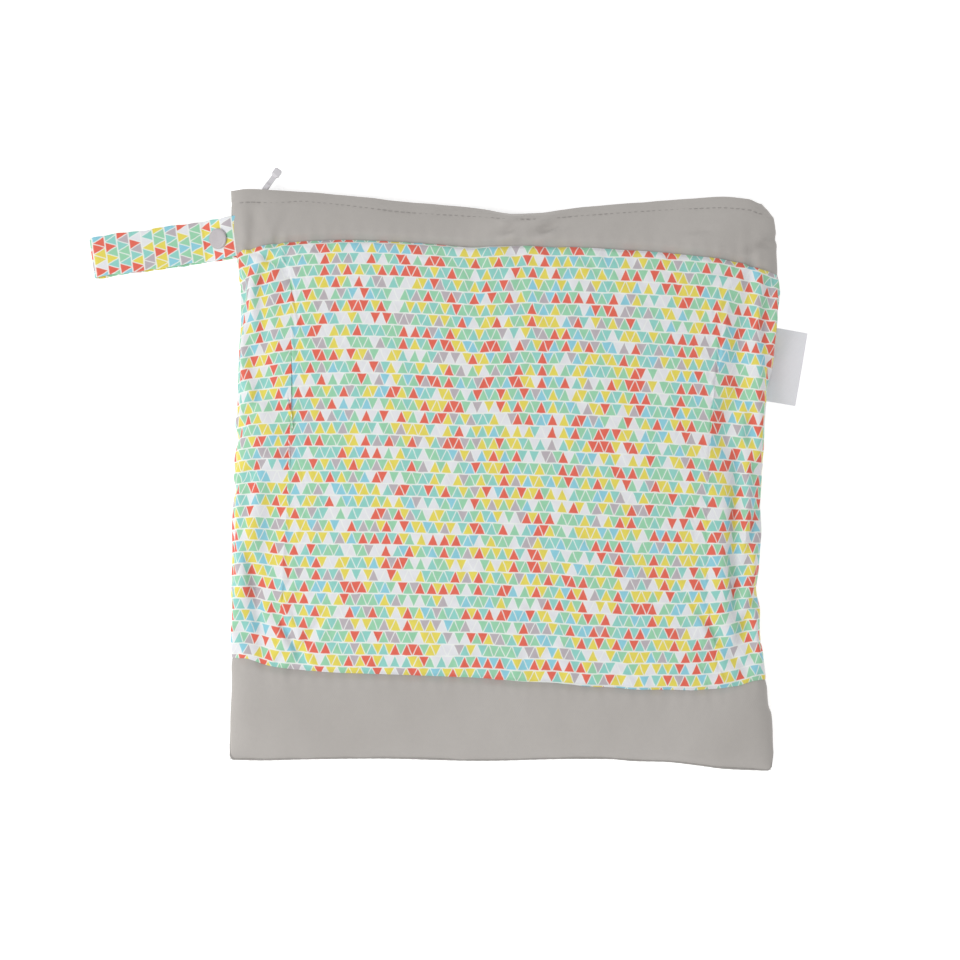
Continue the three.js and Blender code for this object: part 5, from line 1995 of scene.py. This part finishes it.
    def build(self) -> None:
        """Builds and dresses the strap and its snap."""
        strip, looks = self.strip, self.wardrobe
        cloth = self.cloth()
        place_piece(cloth, Body.BAG, Slot.PRINT, looks.strap_print, ["strap"])
        top = strip.thick / 2
        upper_under = top + strip.space
        cap_seat = upper_under + strip.thick + strip.gap
        bore, outer = self.bore_radius, self.socket_radius
        socket_top = upper_under - strip.gap
        socket = [
            (bore, socket_top - self.socket_height), (outer - 0.0008, socket_top - self.socket_height),
            (outer, socket_top - self.socket_height + 0.0008), (outer, socket_top), (bore, socket_top),
            (bore, socket_top - self.socket_height),
        ]
        seat = top + strip.gap
        knob = bore - strip.gap
        neck = seat + self.stud_flange
        tip = neck + self.stud_knob
        stud = [
            (0, seat), (outer, seat), (outer - 0.00025, neck), (knob - 0.00025, neck),
            (knob, tip - 0.0005), (knob - 0.0005, tip), (0, tip),
        ]
        pieces = (
            (self.cap("snap_cap_disc", cap_seat, 1.0), "snap_cap"),
            (self.set_on_strap(Weave.turned("snap_socket_ring", socket, 48)), "snap_socket"),
            (self.set_on_strap(Weave.turned("snap_stud_disc", stud, 48)), "snap_stud"),
            (self.cap("snap_back_disc", top + strip.gap, -1.0), "snap_back"),
        )
        for piece, node in pieces:
            place_piece(piece, Body.BAG, Slot.SNAP, looks.resin, [node])


@dataclass
class SideLabel:
    """The blank ribbon, folded once and sewn into the right seam."""

    form: BagForm
    wardrobe: Wardrobe
    droop: float = 0.0028

    def build(self) -> None:
        """Builds and dresses the label."""
        strip = FoldedStrip(
            self.form, 1, from_top=0.1048, tilt=-9.5, width=0.0445, reach=0.0225, thick=0.0006,
            space=0.0005, end=0.0003)
        down = strip.from_top / self.form.length
        seam = float(self.form.seam_height(1, np.array([down]))[0])
        root = seam - 2 * strip.gap - (2 * strip.thick + strip.space) + strip.thick / 2

        def height(s: Array) -> Array:
            """Returns the height of the lower layer's middle."""
            return root - self.droop * (np.clip(s, 0, strip.reach) / strip.reach) ** 2

        points, normals = strip.line(height, 30)
        length = arc_along(np.concatenate([points, 0 * points[:, :1]], axis=1)[:, None], 0, 0)[:, 0]
        across = np.linspace(-strip.width / 2, strip.width / 2, 34)
        wave = 0.00035 * np.sin(across * 120 + 0.8)[None, :] * np.clip(points[:, :1] / strip.reach, 0, 1)
        faces = []
        for out in (-strip.thick / 2, strip.thick / 2):
            s = points[:, None, 0] + normals[:, None, 0] * out + 0 * across
            z = points[:, None, 1] + normals[:, None, 1] * out + wave
            faces.append(strip.to_world(np.stack([s, across + 0 * s, z], axis=-1)))
        cloth = np.stack(np.broadcast_arrays(across[None, :], length[:, None]), axis=-1)
        label = Weave.outward(Weave.sheet("ribbon_label", faces[0], faces[1], cloth))
        place_piece(label, Body.BAG, Slot.RIBBON, self.wardrobe.ribbon, ["side_label"])


# The studio

@dataclass
class Studio:
    """The plain floor, the soft light and the camera straight above the bag."""

    frame_width: float = 0.576
    middle: tuple[float, float] = (-0.0147, -0.0038)
    subject_height: float = 0.015
    distance: float = 1.6
    sensor: float = 0.036
    sky: float = 0.64
    floor_glow: float = 0.48

    def camera(self) -> None:
        """Places the camera at the photograph's angle."""
        lens = bpy.data.cameras.new("overhead_camera")
        lens.sensor_width = self.sensor * 1000
        lens.lens = lens.sensor_width * self.distance / self.frame_width
        made = add_object("overhead_camera", lens)
        made.location = (*self.middle, self.subject_height + self.distance)
        bpy.context.scene.camera = made

    def floor(self) -> None:
        """Lays the pale floor."""
        half = 3.0
        verts = np.array([[-half, -half, 0], [half, -half, 0], [half, half, 0], [-half, half, 0]])
        made = Weave.solid("floor", verts - np.array([0, 0, 0.0002]), [[0, 1, 2, 3]])
        shader = Shader("pale_floor", (0.90, 0.90, 0.90), 0.9)
        shader.set(Emission_Color=(1.0, 1.0, 1.0, 1.0), Emission_Strength=self.floor_glow,
                   Specular_IOR_Level=0.0)
        made.data.materials.append(shader.material)

    def lights(self) -> None:
        """Sets the even sky and the large soft light."""
        world = bpy.data.worlds.new("studio")
        bpy.context.scene.world = world
        world.use_nodes = True
        backdrop = world.node_tree.nodes["Background"]
        backdrop.inputs["Color"].default_value = (1.0, 1.0, 1.0, 1.0)
        backdrop.inputs["Strength"].default_value = self.sky
        for name, place, size, power in (
            ("key_softbox", (-1.15, -0.35, 1.2), 1.0, 14.0),
            ("fill_softbox", (0.5, 0.6, 1.6), 1.4, 2.0),
        ):
            lamp = bpy.data.lights.new(name, "AREA")
            lamp.size = size
            lamp.energy = power
            made = add_object(name, lamp)
            made.location = place
            made.rotation_euler = (-Vector(place)).to_track_quat("-Z", "Y").to_euler()

    def build(self) -> None:
        """Builds the studio."""
        self.camera()
        self.floor()
        self.lights()
        bpy.context.scene.view_settings.view_transform = "Standard"


def main() -> None:
    """Builds the studio and the bag's pieces in order."""
    logging.basicConfig(level=logging.INFO, format="%(name)s: %(message)s")
    Studio().build()
    form = BagForm()
    wardrobe = Wardrobe()
    slack = SlackCloth(form)
    slack.settle()
    fronts = ClothFront(form, slack, wardrobe).build()
    back = ClothBack(form, wardrobe).build()
    ZipFastener(wardrobe).build()
    declare_sheet(fronts[0])
    declare_sheet(fronts[1])
    declare_sheet(fronts[2])
    declare_sheet(back)
    CarryStrap(form, wardrobe).build()
    SideLabel(form, wardrobe).build()


if __name__ == "__main__":
    main()
